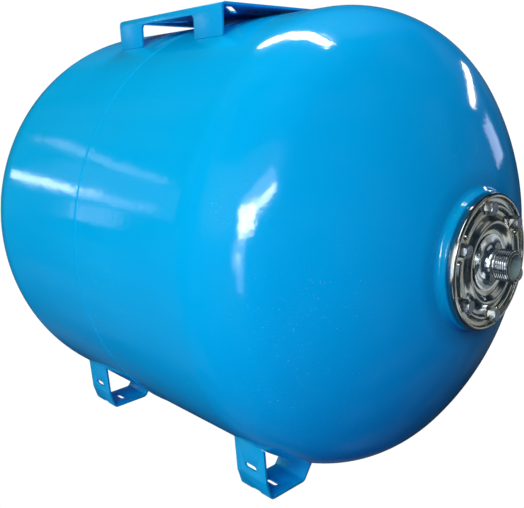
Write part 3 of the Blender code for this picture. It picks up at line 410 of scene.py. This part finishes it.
def make_nipple_zinc():
    """Bright zinc with painted shade in the thread's grooves, which turn nearly black, and a dull, pale bore.
    """
    m = Nodes("nipple_zinc")
    tone = m.ramp(m.noise(60.0, 3.0), [(0.35, (0.56, 0.61, 0.65)), (0.65, (0.74, 0.78, 0.81))])
    offset = m.add("ShaderNodeVectorMath", operation="SUBTRACT")
    offset.inputs[1].default_value = (0.0, 0.0, AXIS_HEIGHT)
    flat = m.add("ShaderNodeVectorMath", operation="MULTIPLY")
    flat.inputs[1].default_value = (0.0, 1.0, 1.0)
    length = m.add("ShaderNodeVectorMath", operation="LENGTH")
    m.link(m.place, offset.inputs[0])
    m.link(offset.outputs[0], flat.inputs[0])
    m.link(flat.outputs[0], length.inputs[0])
    radius = length.outputs["Value"]
    # Painted shade: the metal darkens to nearly black towards the bottom of the thread's grooves.
    crest = m.spread(radius, 0.0, 1.0, NIPPLE_THREAD_RADIUS - THREAD_DEPTH,
                     NIPPLE_THREAD_RADIUS - THREAD_SHADE_END_DEPTH)
    metal = m.mix(crest, (0.05, 0.055, 0.06, 1.0), tone)
    outside = m.spread(radius, 0.0, 1.0, NIPPLE_BORE + NIPPLE_BORE_DULL_START,
                       NIPPLE_BORE + NIPPLE_BORE_DULL_END)
    m.set(Base_Color=m.mix(outside, (0.24, 0.33, 0.28, 1.0), metal), Metallic=outside)
    m.set(Roughness=m.spread(m.noise(240.0, 3.0), 0.10, 0.2))
    return m.material


def make_steel():
    """Steel for the tapped ring inside, dull and a little uneven."""
    m = Nodes("bare_steel")
    tone = m.ramp(m.noise(30.0, 4.0), [(0.35, (0.22, 0.21, 0.20)), (0.65, (0.38, 0.38, 0.38))])
    m.set(Base_Color=tone, Metallic=1.0, Roughness=m.spread(m.noise(90.0, 4.0), 0.35, 0.6))
    return m.material


def make_rubber():
    m = Nodes("black_rubber")
    tone = m.ramp(m.noise(90.0, 3.0), [(0.3, (0.012, 0.012, 0.013)), (0.7, (0.03, 0.03, 0.032))])
    m.set(Base_Color=tone, Roughness=m.spread(m.noise(60.0, 3.0), 0.55, 0.75))
    m.set(Normal=m.bump(m.noise(1500.0, 2.0), 0.00003))
    return m.material


def make_brass():
    m = Nodes("valve_brass")
    tone = m.ramp(m.noise(160.0, 3.0), [(0.3, (0.58, 0.40, 0.16)), (0.7, (0.76, 0.56, 0.25))])
    m.set(Base_Color=tone, Metallic=1.0, Roughness=m.spread(m.noise(400.0, 3.0), 0.22, 0.4))
    m.set(Normal=m.bump(m.noise(900.0, 2.0, stretch=(1.0, 6.0, 6.0)), 0.00001))
    return m.material


def make_plastic():
    m = Nodes("black_plastic")
    tone = m.ramp(m.noise(200.0, 3.0), [(0.3, (0.012, 0.012, 0.012)), (0.7, (0.022, 0.022, 0.022))])
    m.set(Base_Color=tone, Roughness=m.spread(m.noise(300.0, 2.0), 0.38, 0.52))
    m.set(Normal=m.bump(m.noise(2600.0, 1.0), 0.00001))
    return m.material


# Profiles


def arc(centre, radius, start, end, count):
    """Points (a, b) on an arc, from one angle to another, both included."""
    points = []
    for index in range(count + 1):
        angle = start + (end - start) * index / count
        points.append((centre[0] + radius * math.cos(angle), centre[1] + radius * math.sin(angle)))
    return points


def line(start, end, count):
    return [(start[0] + (end[0] - start[0]) * i / count, start[1] + (end[1] - start[1]) * i / count)
            for i in range(count + 1)]


def tidy_path(points):
    """The path without points that are doubled."""
    kept = [points[0]]
    for point in points[1:]:
        if math.dist(point, kept[-1]) > LEAST_STEP:
            kept.append(point)
    return kept


def offset_path(points, distance):
    """The path moved sideways to its left by a distance, mitred at each corner."""
    moved = []
    for index, point in enumerate(points):
        before = points[max(index - 1, 0)]
        after = points[min(index + 1, len(points) - 1)]
        normals = []
        for start, end in ((before, point), (point, after)):
            length = math.dist(start, end)
            if length > 0.0:
                normals.append(((start[1] - end[1]) / length, (end[0] - start[0]) / length))
        nx = sum(n[0] for n in normals)
        ny = sum(n[1] for n in normals)
        scale = math.hypot(nx, ny)
        nx, ny = nx / scale, ny / scale
        mitre = distance / max(nx * normals[0][0] + ny * normals[0][1], 0.4)
        moved.append((point[0] + nx * mitre, point[1] + ny * mitre))
    return moved


def rounded_path(corners, radius, count):
    """A polyline whose inner corners are replaced by arcs."""
    points = [corners[0]]
    for index in range(1, len(corners) - 1):
        here = Vector(corners[index])
        back = (Vector(corners[index - 1]) - here).normalized()
        ahead = (Vector(corners[index + 1]) - here).normalized()
        half = back.angle(ahead) / 2.0
        reach = radius / math.tan(half)
        centre = here + (back + ahead).normalized() * radius / math.sin(half)
        start = here + back * reach - centre
        end = here + ahead * reach - centre
        turn = start.angle_signed(end)
        for step in range(count + 1):
            spun = Matrix.Rotation(-turn * step / count, 2) @ start
            points.append(tuple(centre + spun))
    points.append(corners[-1])
    return points


def swell(r_start, x_start, r_end, x_end, count):
    """A smooth S-shaped rise or fall between two radii."""
    points = []
    for index in range(count + 1):
        share = index / count
        ease = (1.0 - math.cos(math.pi * share)) / 2.0
        points.append((r_start + (r_end - r_start) * share, x_start + (x_end - x_start) * ease))
    return points


# Pieces


def grid_piece(name, rows, columns, place, material, sharp, closed_rows=True):
    """A piece from a grid of points: place(row, column angles) gives x, y and z arrays."""
    angles = np.arange(columns) * 2.0 * math.pi / columns
    verts = np.concatenate([np.stack(place(row, angles), axis=1) for row in range(rows)])
    faces = []
    last = rows if closed_rows else rows - 1
    for row in range(last):
        ahead = (row + 1) % rows
        for column in range(columns):
            beside = (column + 1) % columns
            faces.append((row * columns + column, row * columns + beside,
                          ahead * columns + beside, ahead * columns + column))
    mesh = bpy.data.meshes.new(name)
    mesh.from_pydata(verts.tolist(), [], faces)
    return finish_piece(name, mesh, material, sharp)


def finish_piece(name, mesh, material, sharp):
    """Merges doubled points, turns all faces outward and smooths all edges below the sharp angle."""
    bm = bmesh.new()
    bm.from_mesh(mesh)
    bmesh.ops.remove_doubles(bm, verts=bm.verts, dist=MERGE_DISTANCE)
    bmesh.ops.recalc_face_normals(bm, faces=bm.faces)
    bm.to_mesh(mesh)
    bm.free()
    mesh.materials.clear()
    mesh.materials.append(material)
    mesh.shade_smooth()
    mesh.set_sharp_from_angle(angle=math.radians(sharp))
    obj = bpy.data.objects.new(name, mesh)
    bpy.context.scene.collection.objects.link(obj)
    return obj


def revolved(name, profile, columns, material, sharp, side=1.0, lift=None):
    """A piece turned about the tank's axis, with an optional lift along the axis at each point."""

    def place(row, angles):
        radius, along = profile[row]
        rise = 0.0 if lift is None else lift(radius, angles)
        x = side * (along + rise) - MIDDLE_X
        return (x + 0.0 * angles, radius * np.cos(angles), radius * np.sin(angles) + AXIS_HEIGHT)

    return grid_piece(name, len(profile), columns, place, material, sharp)


def dress(obj, node):
    """Puts a piece on the vessel in place of the CAD's node."""
    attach(obj, "vessel")
    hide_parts(node)


def dish_path(inner_end):
    """Outer side of a dished half, from the seam to the edge of its hole."""
    knuckle_centre = (TANK_RADIUS - KNUCKLE_RADIUS, HALF_STRAIGHT)
    path = line((TANK_RADIUS, WELD_ROOT + GAP), (TANK_RADIUS, HALF_STRAIGHT), 4)
    path += arc(knuckle_centre, KNUCKLE_RADIUS, 0.0, math.pi / 2.0 - CROWN_HALF_ANGLE, 28)
    end_angle = math.pi / 2.0 - math.asin(inner_end / CROWN_RADIUS)
    path += arc((0.0, CROWN_CENTRE), CROWN_RADIUS, math.pi / 2.0 - CROWN_HALF_ANGLE, end_angle, 24)
    return tidy_path(path)


def neck_path():
    """The drawn neck, from the crown up to the edge of the opening in its seat."""
    fillet_r = NECK_RADIUS + NECK_FILLET
    reach = CROWN_RADIUS + NECK_FILLET
    fillet_x = CROWN_CENTRE + math.sqrt(reach ** 2 - fillet_r ** 2)
    lean = math.asin(fillet_r / reach)
    path = arc((fillet_r, fillet_x), NECK_FILLET, -math.pi / 2.0 - lean, -math.pi, 10)
    edge = (NECK_RADIUS - NECK_EDGE_RADIUS, SEAT - NECK_EDGE_RADIUS)
    path += arc(edge, NECK_EDGE_RADIUS, 0.0, math.pi / 2.0, 6)
    path.append((NECK_OPENING, SEAT))
    return path


def make_shells(paint):
    fillet_r = NECK_RADIUS + NECK_FILLET
    crown_end = fillet_r * CROWN_RADIUS / (CROWN_RADIUS + NECK_FILLET)
    front = tidy_path(dish_path(crown_end)[:-1] + neck_path())
    rear = dish_path(VALVE_HOLE)
    for end, path, side in (("front", front, 1.0), ("rear", rear, -1.0)):
        outline = list(reversed(path)) + offset_path(path, WALL)
        half = revolved(f"{end}_half", outline, FINE_COLUMNS, paint, 50.0, side)
        dress(half, f"{end}_shell")


def make_weld(paint):
    """The seam's low bead, run out smoothly into both halves, with the slow ripple a machine weld leaves."""
    under = TANK_RADIUS - WELD_SINK
    rise = TANK_RADIUS + GAP + WELD_CROWN - under
    steps = 16
    rows = [(TANK_RADIUS - WALL + GAP, -WELD_ROOT, 0.0), (TANK_RADIUS - WALL + GAP, WELD_ROOT, 0.0)]
    for index in range(steps + 1):
        share = 1.0 - 2.0 * index / steps
        crown = math.cos(share * math.pi / 2.0) ** 2
        rows.append((under + rise * crown, WELD_HALF_WIDTH * share * WELD_SPREAD, crown))

    def place(row, angles):
        radius, along, crown = rows[row]
        ripple = WELD_RIPPLE * crown * np.sin(angles * WELD_RIPPLES)
        wander = WELD_WANDER * np.sin(angles * WELD_WANDERS)
        radii = radius + ripple - WELD_LOWERED * crown
        return (along + wander - MIDDLE_X, radii * np.cos(angles), radii * np.sin(angles) + AXIS_HEIGHT)

    bead = grid_piece("seam_bead", len(rows), 4 * FINE_COLUMNS, place, paint, 60.0)
    dress(bead, "girth_weld")


def flange_outline():
    """Front and back of the pressed flange, as one closed outline."""
    top = SEAT + FLANGE_RIM_HEIGHT
    outer_round = (FLANGE_RADIUS - FLANGE_RIM_ROUND, top - FLANGE_RIM_ROUND)
    lip_radius = FLANGE_RIM_WIDTH - FLANGE_RIM_ROUND
    lip = (outer_round[0], top - lip_radius)
    foot_round = (FLANGE_RADIUS - FLANGE_FOOT_ROUND, FLANGE_FOOT + FLANGE_FOOT_ROUND)
    rim = arc(foot_round, FLANGE_FOOT_ROUND, -math.pi / 2.0, 0.0, 6)
    rim += arc(outer_round, FLANGE_RIM_ROUND, 0.0, math.pi / 2.0, 9)
    rim += arc(lip, lip_radius, math.pi / 2.0, math.pi, 6)
    groove = FLANGE_RADIUS - FLANGE_RIM_WIDTH - FLANGE_GROOVE_ROUND
    rim += arc((groove, FLANGE_FACE + FLANGE_GROOVE_ROUND), FLANGE_GROOVE_ROUND, 0.0, -math.pi / 2.0, 4)
    crest_outer = FLANGE_CREST_RADIUS + FLANGE_CREST_SPREAD
    face = line((groove, FLANGE_FACE), (crest_outer, FLANGE_FACE), 26)
    face += swell(crest_outer, FLANGE_FACE, FLANGE_CREST_RADIUS, SEAT + FLANGE_CREST_HEIGHT, 10)
    crest_inner = FLANGE_CREST_RADIUS - FLANGE_CREST_INNER_SPREAD
    face += swell(FLANGE_CREST_RADIUS, SEAT + FLANGE_CREST_HEIGHT, crest_inner, FLANGE_FLOOR, 8)[1:]
    face.append((FLANGE_HOLE, FLANGE_FLOOR))
    face = tidy_path(face)
    front = tidy_path(rim + face)
    skirt = FLANGE_RADIUS - FLANGE_SHEET
    back = [(skirt, FLANGE_FOOT), (skirt, FLANGE_FACE - FLANGE_SKIRT)] + offset_path(face, FLANGE_SHEET)
    return list(reversed(front)) + back


def rib_lift(radius, angles):
    """Height of the embossed ribs on the flange's face, with a small pit between two of them."""
    if radius >= RIB_REACH:
        return 0.0 * angles
    pitch = 2.0 * math.pi / BOLT_COUNT
    turn = (angles - BOLT_PHASE - pitch / 2.0 + math.pi / BOLT_COUNT) % pitch - math.pi / BOLT_COUNT
    beyond = np.maximum(np.abs(turn) - RIB_SPAN / 2.0, 0.0) * RIB_CENTRE_RADIUS
    away = np.hypot(beyond, radius - RIB_CENTRE_RADIUS) / (RIB_HALF_WIDTH * RIB_SPREAD)
    rise = RIB_RISE * np.clip(1.0 - away ** 2.0, 0.0, 1.0) ** RIB_FLANK
    pit_angle = (angles - PIT_ANGLE + math.pi) % (2.0 * math.pi) - math.pi
    pit = np.hypot(pit_angle * RIB_CENTRE_RADIUS, radius - PIT_RADIUS) / PIT_WIDTH
    return rise - PIT_DEPTH * np.exp(-pit ** 2.0)


def make_flange(zinc):
    flange = revolved("pressed_flange", flange_outline(), FLANGE_COLUMNS, zinc, 40.0, lift=rib_lift)
    dress(flange, "flange")


def make_nipple(zinc):
    """The water connection: bore, thread, relief, flare, spigot and the funnel behind."""
    root = NIPPLE_THREAD_RADIUS - NIPPLE_RELIEF
    thread_low = NIPPLE_END - NIPPLE_THREAD_LENGTH
    flare_low = NIPPLE_BASE + NIPPLE_FLARE_EDGE
    rows = [(NIPPLE_BORE, NIPPLE_END, 0.0), (NIPPLE_THREAD_RADIUS - NIPPLE_CHAMFER, NIPPLE_END, 0.0)]
    rings = int(NIPPLE_THREAD_LENGTH / THREAD_PITCH * THREAD_STEPS_PER_TURN)
    for index in range(rings + 1):
        along = NIPPLE_END - NIPPLE_THREAD_LENGTH * index / rings
        chamfer = max(NIPPLE_CHAMFER - (NIPPLE_END - along), 0.0)
        fade = min(1.0, (along - thread_low) / THREAD_FADE)
        rows.append((NIPPLE_THREAD_RADIUS - chamfer, along, fade))
    rows.append((root, thread_low - NIPPLE_RELIEF, 0.0))
    steps = 24
    for index in range(steps + 1):
        angle = math.pi / 2.0 * (1.0 - index / steps)
        radius = NIPPLE_FLARE_RADIUS - (NIPPLE_FLARE_RADIUS - root) * math.sin(angle)
        rise = (thread_low - NIPPLE_FLARE_START - flare_low) * (1.0 - math.cos(angle))
        rows.append((radius, flare_low + rise, 0.0))
    spigot = FLANGE_HOLE - GAP
    back = NIPPLE_BASE - NIPPLE_SPIGOT_DEPTH
    funnel = spigot - NIPPLE_WALL_AT_SPIGOT
    rows += [(NIPPLE_FLARE_RADIUS, NIPPLE_BASE, 0.0), (spigot, NIPPLE_BASE, 0.0), (spigot, back, 0.0),
             (funnel, back, 0.0)]
    for index in range(steps + 1):
        angle = math.pi / 2.0 * index / steps
        radius = funnel - (funnel - NIPPLE_BORE) * math.sin(angle)
        rise = (thread_low - back) * FUNNEL_SHARE * (1.0 - math.cos(angle))
        rows.append((radius, back + rise + FUNNEL_SHIFT, 0.0))

    def place(row, angles):
        radius, along, fade = rows[row]
        phase = 2.0 * math.pi * (along / THREAD_PITCH) - angles
        groove = (0.5 + 0.5 * np.cos(phase)) ** THREAD_FLANK
        depth = np.minimum(THREAD_DEPTH * fade * groove, max(radius - THREAD_ROOT, 0.0))
        radii = radius - depth
        return (along - MIDDLE_X + 0.0 * angles, radii * np.cos(angles), radii * np.sin(angles) + AXIS_HEIGHT)

    nipple = grid_piece("threaded_nipple", len(rows), NIPPLE_COLUMNS, place, zinc, 35.0)
    dress(nipple, "connection_nipple")


def bolt_mesh(bright):
    """A hexagon head with its rounded-off corners, on its shank, along Z."""
    flat = BOLT_HEAD_ACROSS_FLATS / 2.0
    under = FLANGE_FACE + GAP
    top = under + BOLT_HEAD_HEIGHT
    crown = flat * BOLT_CROWN_SHARE
    collar = flat * BOLT_COLLAR_SHARE
    angles = np.arange(BOLT_COLUMNS) * 2.0 * math.pi / BOLT_COLUMNS
    hexagon = flat / np.cos((angles + math.pi / 6.0) % (math.pi / 3.0) - math.pi / 6.0)
    slope = np.maximum(hexagon - crown, 0.0) * math.tan(BOLT_CROWN_SLOPE)
    shank_low = SEAT - WALL - GAP - BOLT_SHANK_REACH + BOLT_SHANK * 0.2
    rows = ((0.0, top - BOLT_DISH), (crown * BOLT_DISH_FLOOR_SHARE, top - BOLT_DISH),
            (crown * BOLT_DISH_RIM_SHARE, top), (crown, top), (hexagon, top - slope),
            (hexagon, under + BOLT_FLATS_START), (collar, under + BOLT_COLLAR_HEIGHT), (collar, under),
            (BOLT_SHANK, under), (BOLT_SHANK, shank_low), (0.0, shank_low))

    def place(row, turns):
        radius, height = rows[row]
        return (radius * np.cos(turns), radius * np.sin(turns), height + 0.0 * turns)

    obj = grid_piece("flange_bolt_form", len(rows), BOLT_COLUMNS, place, bright, 25.0, closed_rows=False)
    mesh = obj.data
    bpy.data.objects.remove(obj)
    return mesh


def make_bolts(bright):
    mesh = bolt_mesh(bright)
    for index, turn in enumerate(BOLT_TURNS):
        angle = BOLT_PHASE - index * 2.0 * math.pi / BOLT_COUNT
        bolt = bpy.data.objects.new(f"hex_bolt_{index + 1}", mesh)
        bpy.context.scene.collection.objects.link(bolt)
        centre = (-MIDDLE_X, BOLT_CIRCLE * math.cos(angle), AXIS_HEIGHT + BOLT_CIRCLE * math.sin(angle))
        bolt.matrix_world = (Matrix.Translation(centre) @ Matrix.Rotation(math.pi / 2.0, 4, "Y")
                             @ Matrix.Rotation(math.radians(turn), 4, "Z"))
        dress(bolt, f"flange_bolt_{index + 1}")


# Folded strip pieces


def prism(name, outline, half_length):
    """An outline in the YZ plane, given as (y, z), made into a bar along X."""
    bm = bmesh.new()
    near = [bm.verts.new((-half_length, y, z)) for y, z in outline]
    far = [bm.verts.new((half_length, y, z)) for y, z in outline]
    count = len(outline)
    for index in range(count):
        ahead = (index + 1) % count
        bm.faces.new((near[index], near[ahead], far[ahead], far[index]))
    bm.faces.new(near)
    bm.faces.new(far)
    bmesh.ops.recalc_face_normals(bm, faces=bm.faces)
    mesh = bpy.data.meshes.new(name)
    bm.to_mesh(mesh)
    bm.free()
    obj = bpy.data.objects.new(name, mesh)
    bpy.context.scene.collection.objects.link(obj)
    return obj


def slot_bar(length, width, depth, matrix):
    """A slot cutter: a bar with round ends, its length along X and its depth along Z."""
    bm = bmesh.new()
    radius = width / 2.0
    bmesh.ops.create_cone(bm, cap_ends=True, segments=SLOT_SIDES, radius1=radius, radius2=radius,
                          depth=depth, matrix=Matrix.Rotation(math.pi / SLOT_SIDES, 4, "Z"))
    shift = (length - width) / 2.0
    for vert in bm.verts:
        vert.co.x += shift if vert.co.x > 0.0 else -shift
    mesh = bpy.data.meshes.new("slot")
    bm.to_mesh(mesh)
    bm.free()
    obj = bpy.data.objects.new("slot", mesh)
    bpy.context.scene.collection.objects.link(obj)
    obj.matrix_world = matrix
    return obj


def barrel():
    """A cutter the size of the tank, which leaves the gap under each strip."""
    bm = bmesh.new()
    length = 2.0 * (HALF_STRAIGHT + KNUCKLE_RADIUS)
    radius = TANK_RADIUS + GAP
    bmesh.ops.create_cone(bm, cap_ends=True, segments=FINE_COLUMNS, radius1=radius, radius2=radius,
                          depth=length, matrix=Matrix.Rotation(math.pi / 2.0, 4, "Y"))
    mesh = bpy.data.meshes.new("barrel")
    bm.to_mesh(mesh)
    bm.free()
    obj = bpy.data.objects.new("barrel", mesh)
    bpy.context.scene.collection.objects.link(obj)
    obj.location = (-MIDDLE_X, 0.0, AXIS_HEIGHT)
    return obj


def add_bevel(obj, width, angle):
    bevel = obj.modifiers.new("edge", "BEVEL")
    bevel.width = width
    bevel.segments = 2
    bevel.limit_method = "ANGLE"
    bevel.angle_limit = math.radians(angle)


def cut(obj, cutters, name, material):
    """Cuts a bar with several cutters, then breaks its edges with a small bevel."""
    for cutter in cutters:
        step = obj.modifiers.new("cut", "BOOLEAN")
        step.operation = "DIFFERENCE"
        step.solver = "EXACT"
        step.object = cutter
    add_bevel(obj, STRIP_EDGE, 50.0)
    bpy.context.view_layer.update()
    mesh = bpy.data.meshes.new_from_object(obj.evaluated_get(bpy.context.evaluated_depsgraph_get()))
    mesh.transform(obj.matrix_world)
    for other in [obj] + list(cutters):
        bpy.data.objects.remove(other)
    return finish_piece(name, mesh, material, 35.0)


def sheet_outline(path, thickness):
    """The closed outline of a sheet whose one side follows the path."""
    path = tidy_path(path)
    return path + list(reversed(offset_path(path, thickness)))


def make_bracket(paint):
    middle = (-MIDDLE_X, 0.0, AXIS_HEIGHT)
    top = TANK_RADIUS + BRACKET_TOP_RISE
    low = math.sqrt((TANK_RADIUS + GAP) ** 2 - BRACKET_HALF_WIDTH ** 2) - 2.0 * BRACKET_SHEET
    w = BRACKET_HALF_WIDTH
    path = rounded_path([(-w, low), (-w, top), (w, top), (w, low)], BRACKET_BEND + BRACKET_SHEET, 10)
    bracket = prism("bracket_bar", sheet_outline(path, -BRACKET_SHEET), BRACKET_HALF_LENGTH)
    bracket.location = middle
    half = BRACKET_WINDOW_HALF
    strip = top - BRACKET_WINDOW_STRIP
    foot = top - 3.0 * BRACKET_HALF_WIDTH / 4.0
    corners = [(-half, foot), (-half, strip), (half, strip), (half, foot)]
    opening = rounded_path(corners, BRACKET_WINDOW_CORNER, 8)
    window = prism("window", opening, BRACKET_HALF_WIDTH + 4.0 * BRACKET_SHEET)
    window.matrix_world = Matrix.Translation(middle) @ Matrix.Rotation(math.pi / 2.0, 4, "Z")
    cutters = [window, barrel()]
    depth = 6.0 * BRACKET_SHEET
    for x in (-BRACKET_SLOT_X, BRACKET_SLOT_X):
        for y in (-BRACKET_SLOT_Y, BRACKET_SLOT_Y):
            place = Matrix.Translation((x - MIDDLE_X, y, AXIS_HEIGHT + top))
            turn = Matrix.Rotation(math.atan2(y, x), 4, "Z")
            cutters.append(slot_bar(BRACKET_SLOT_LENGTH, BRACKET_SLOT_WIDTH, depth, place @ turn))
    dress(cut(bracket, cutters, "folded_bracket", paint), "pump_bracket")


def foot_path():
    """Outer side of a foot's strip, from the outer leg's top round the base to the inner leg's top."""
    floor = -AXIS_HEIGHT
    near_top = -math.sqrt(TANK_RADIUS ** 2 - FOOT_NEAR_LEG_TOP_Y ** 2) + 2.0 * FOOT_SHEET
    far_top = -math.sqrt(TANK_RADIUS ** 2 - FOOT_FAR_LEG_TOP_Y ** 2) + 2.0 * FOOT_SHEET
    corners = [(-FOOT_NEAR_LEG_TOP_Y, near_top), (-FOOT_NEAR_LEG_Y, floor + FOOT_NEAR_LEG_KINK),
               (-FOOT_BASE_OUTER_Y, floor), (-FOOT_BASE_INNER_Y, floor), (-FOOT_FAR_LEG_TOP_Y, far_top)]
    return rounded_path(corners, FOOT_BEND + FOOT_SHEET, 8)


def make_foot(end, flank, side_x, side_y, paint):
    outline = sheet_outline(foot_path(), FOOT_SHEET)
    if side_y > 0.0:
        outline = [(-y, z) for y, z in reversed(outline)]
    foot = prism("foot_bar", outline, FOOT_WIDTH / 2.0)
    x = side_x * FOOT_X - MIDDLE_X
    foot.location = (x, 0.0, AXIS_HEIGHT)
    depth = 6.0 * FOOT_SHEET
    base = Matrix.Translation((x, side_y * FOOT_BASE_SLOT_Y, 0.0))
    leg = (Matrix.Translation((x, side_y * FOOT_NEAR_LEG_Y, FOOT_LEG_SLOT_HEIGHT))
           @ Matrix.Rotation(math.pi / 2.0, 4, "X"))
    bend = (Matrix.Translation((x, side_y * FOOT_BASE_OUTER_Y, FOOT_SHEET))
            @ Matrix.Rotation(side_y * FOOT_BEND_SLOT_TURN, 4, "X"))
    cutters = [barrel(), slot_bar(FOOT_SLOT_LENGTH, FOOT_SLOT_WIDTH, depth, base),
               slot_bar(FOOT_SLOT_LENGTH, FOOT_SLOT_WIDTH, depth, leg),
               slot_bar(FOOT_BEND_SLOT_LENGTH, FOOT_BEND_SLOT_WIDTH, depth, bend)]
    dress(cut(foot, cutters, f"strip_foot_{end}_{flank}", paint), f"foot_{end}_{flank}")


# Kept CAD nodes


def finish_nodes(nodes, materials):
    """Materials and small bevels for the nodes that keep the CAD's mesh."""
    for node, slot in (("neck_ring", "bare_steel"), ("membrane", "rubber"), ("valve_stem", "brass"),
                       ("valve_nut", "brass"), ("valve_core", "brass"), ("valve_pin", "brass"),
                       ("valve_seal", "rubber"), ("valve_cap", "black_plastic")):
        obj = nodes[node]
        obj.data.materials.clear()
        obj.data.materials.append(materials[slot])
        if node in ("valve_nut", "valve_cap"):
            add_bevel(obj, VALVE_EDGE, 40.0)


# Stage


def make_world():
    """A white background, with a dim and uneven room for what the metal and paint mirror."""
    world = bpy.data.worlds.new("studio")
    bpy.context.scene.world = world
    world.use_nodes = True
    tree = world.node_tree
    room = tree.nodes["Background"]
    ways = tree.nodes.new("ShaderNodeTexCoord")
    noise = tree.nodes.new("ShaderNodeTexNoise")
    noise.inputs["Scale"].default_value = ROOM_NOISE_SCALE
    noise.inputs["Detail"].default_value = ROOM_NOISE_DETAIL
    ramp = tree.nodes.new("ShaderNodeValToRGB")
    for point, (position, colour) in zip(ramp.color_ramp.elements, ROOM_TONES):
        point.position = position
        point.color = colour
    tree.links.new(ways.outputs["Generated"], noise.inputs["Vector"])
    tree.links.new(noise.outputs["Fac"], ramp.inputs["Fac"])
    tree.links.new(ramp.outputs["Color"], room.inputs["Color"])
    path = tree.nodes.new("ShaderNodeLightPath")
    shaders = [room.outputs["Background"]]
    for colour, strength, ray in ((ROOM_GLOW, 1.0, "Is Diffuse Ray"),
                                  ((*WHITE, 1.0), BACKGROUND_GLOW, "Is Camera Ray")):
        plain = tree.nodes.new("ShaderNodeBackground")
        plain.inputs["Color"].default_value = colour
        plain.inputs["Strength"].default_value = strength
        mix = tree.nodes.new("ShaderNodeMixShader")
        tree.links.new(path.outputs[ray], mix.inputs["Fac"])
        tree.links.new(shaders[-1], mix.inputs[1])
        tree.links.new(plain.outputs["Background"], mix.inputs[2])
        shaders.append(mix.outputs["Shader"])
    tree.links.new(shaders[-1], tree.nodes["World Output"].inputs["Surface"])


def grouped_by_surface():
    """The bare metal pieces, the bolts and all others, because each group mirrors panels of its own."""
    groups = {name: bpy.data.collections.new(f"{name}work") for name in ("metal", "bolt", "paint")}
    for obj in bpy.data.objects:
        if obj.type == "MESH":
            names = {material.name.split(".")[0] for material in obj.data.materials if material}
            group = "paint"
            if names & {"passivated_zinc", "nipple_zinc", "valve_brass"}:
                group = "metal"
            elif "bright_zinc" in names:
                group = "bolt"
            groups[group].objects.link(obj)
    return groups


def panel(name, azimuth, elevation, distance, width, height, glow, colour, roll, centre, receivers):
    """A panel that faces a point of the tank: mirrored in its receivers, or without them a soft fill."""
    a, e = math.radians(azimuth), math.radians(elevation)
    way = Vector((math.sin(a) * math.cos(e), -math.cos(a) * math.cos(e), math.sin(e)))
    light = bpy.data.lights.new(name, "AREA")
    light.shape = "RECTANGLE"
    light.size = width
    light.size_y = height
    light.energy = glow * math.pi * width * height
    light.color = colour
    obj = bpy.data.objects.new(name, light)
    bpy.context.scene.collection.objects.link(obj)
    obj.matrix_world = (Matrix.Translation(Vector(centre) + way * distance)
                        @ way.to_track_quat("Z", "Y").to_matrix().to_4x4()
                        @ Matrix.Rotation(math.radians(roll), 4, "Z"))
    obj.visible_glossy = receivers is not None
    obj.visible_diffuse = receivers is None
    obj.visible_camera = False
    if receivers is not None:
        obj.light_linking.receiver_collection = receivers


def make_lights():
    groups = grouped_by_surface()
    for group, *settings in PANELS:
        panel(*settings, groups.get(group))


def make_camera():
    yaw, pitch, roll = CAMERA_AZIMUTH, CAMERA_PITCH, CAMERA_ROLL
    ahead = Vector((-math.sin(yaw) * math.cos(pitch), math.cos(yaw) * math.cos(pitch), -math.sin(pitch)))
    level = Vector((math.cos(yaw), math.sin(yaw), 0.0))
    upright = level.cross(ahead)
    right = math.cos(roll) * level + math.sin(roll) * upright
    up = -math.sin(roll) * level + math.cos(roll) * upright
    data = bpy.data.cameras.new("camera")
    data.lens = CAMERA_LENS
    data.sensor_width = CAMERA_SENSOR
    camera = bpy.data.objects.new("camera", data)
    bpy.context.scene.collection.objects.link(camera)
    turn = Matrix((right, up, -ahead)).transposed()
    camera.matrix_world = Matrix.Translation(CAMERA_PLACE) @ turn.to_4x4()
    bpy.context.scene.camera = camera


def main():
    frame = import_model()
    bpy.context.scene.view_settings.view_transform = "Standard"
    strip_paint = make_paint("azure_strip_paint", 0.2, (0.0, 0.32, 0.70), (0.0, 0.37, 0.76))
    paint = make_paint()
    steel = make_steel()
    zinc = make_zinc()
    bright = make_bright()
    nipple_zinc = make_nipple_zinc()
    make_shells(paint)
    make_weld(paint)
    make_flange(zinc)
    make_nipple(nipple_zinc)
    make_bolts(bright)
    make_bracket(strip_paint)
    for end, side_x in (("front", 1.0), ("rear", -1.0)):
        for flank, side_y in (("near", -1.0), ("far", 1.0)):
            make_foot(end, flank, side_x, side_y, strip_paint)
    finish_nodes(frame["nodes"], {"bare_steel": steel, "rubber": make_rubber(), "brass": make_brass(),
                                  "black_plastic": make_plastic()})
    make_world()
    make_lights()
    make_camera()


main()
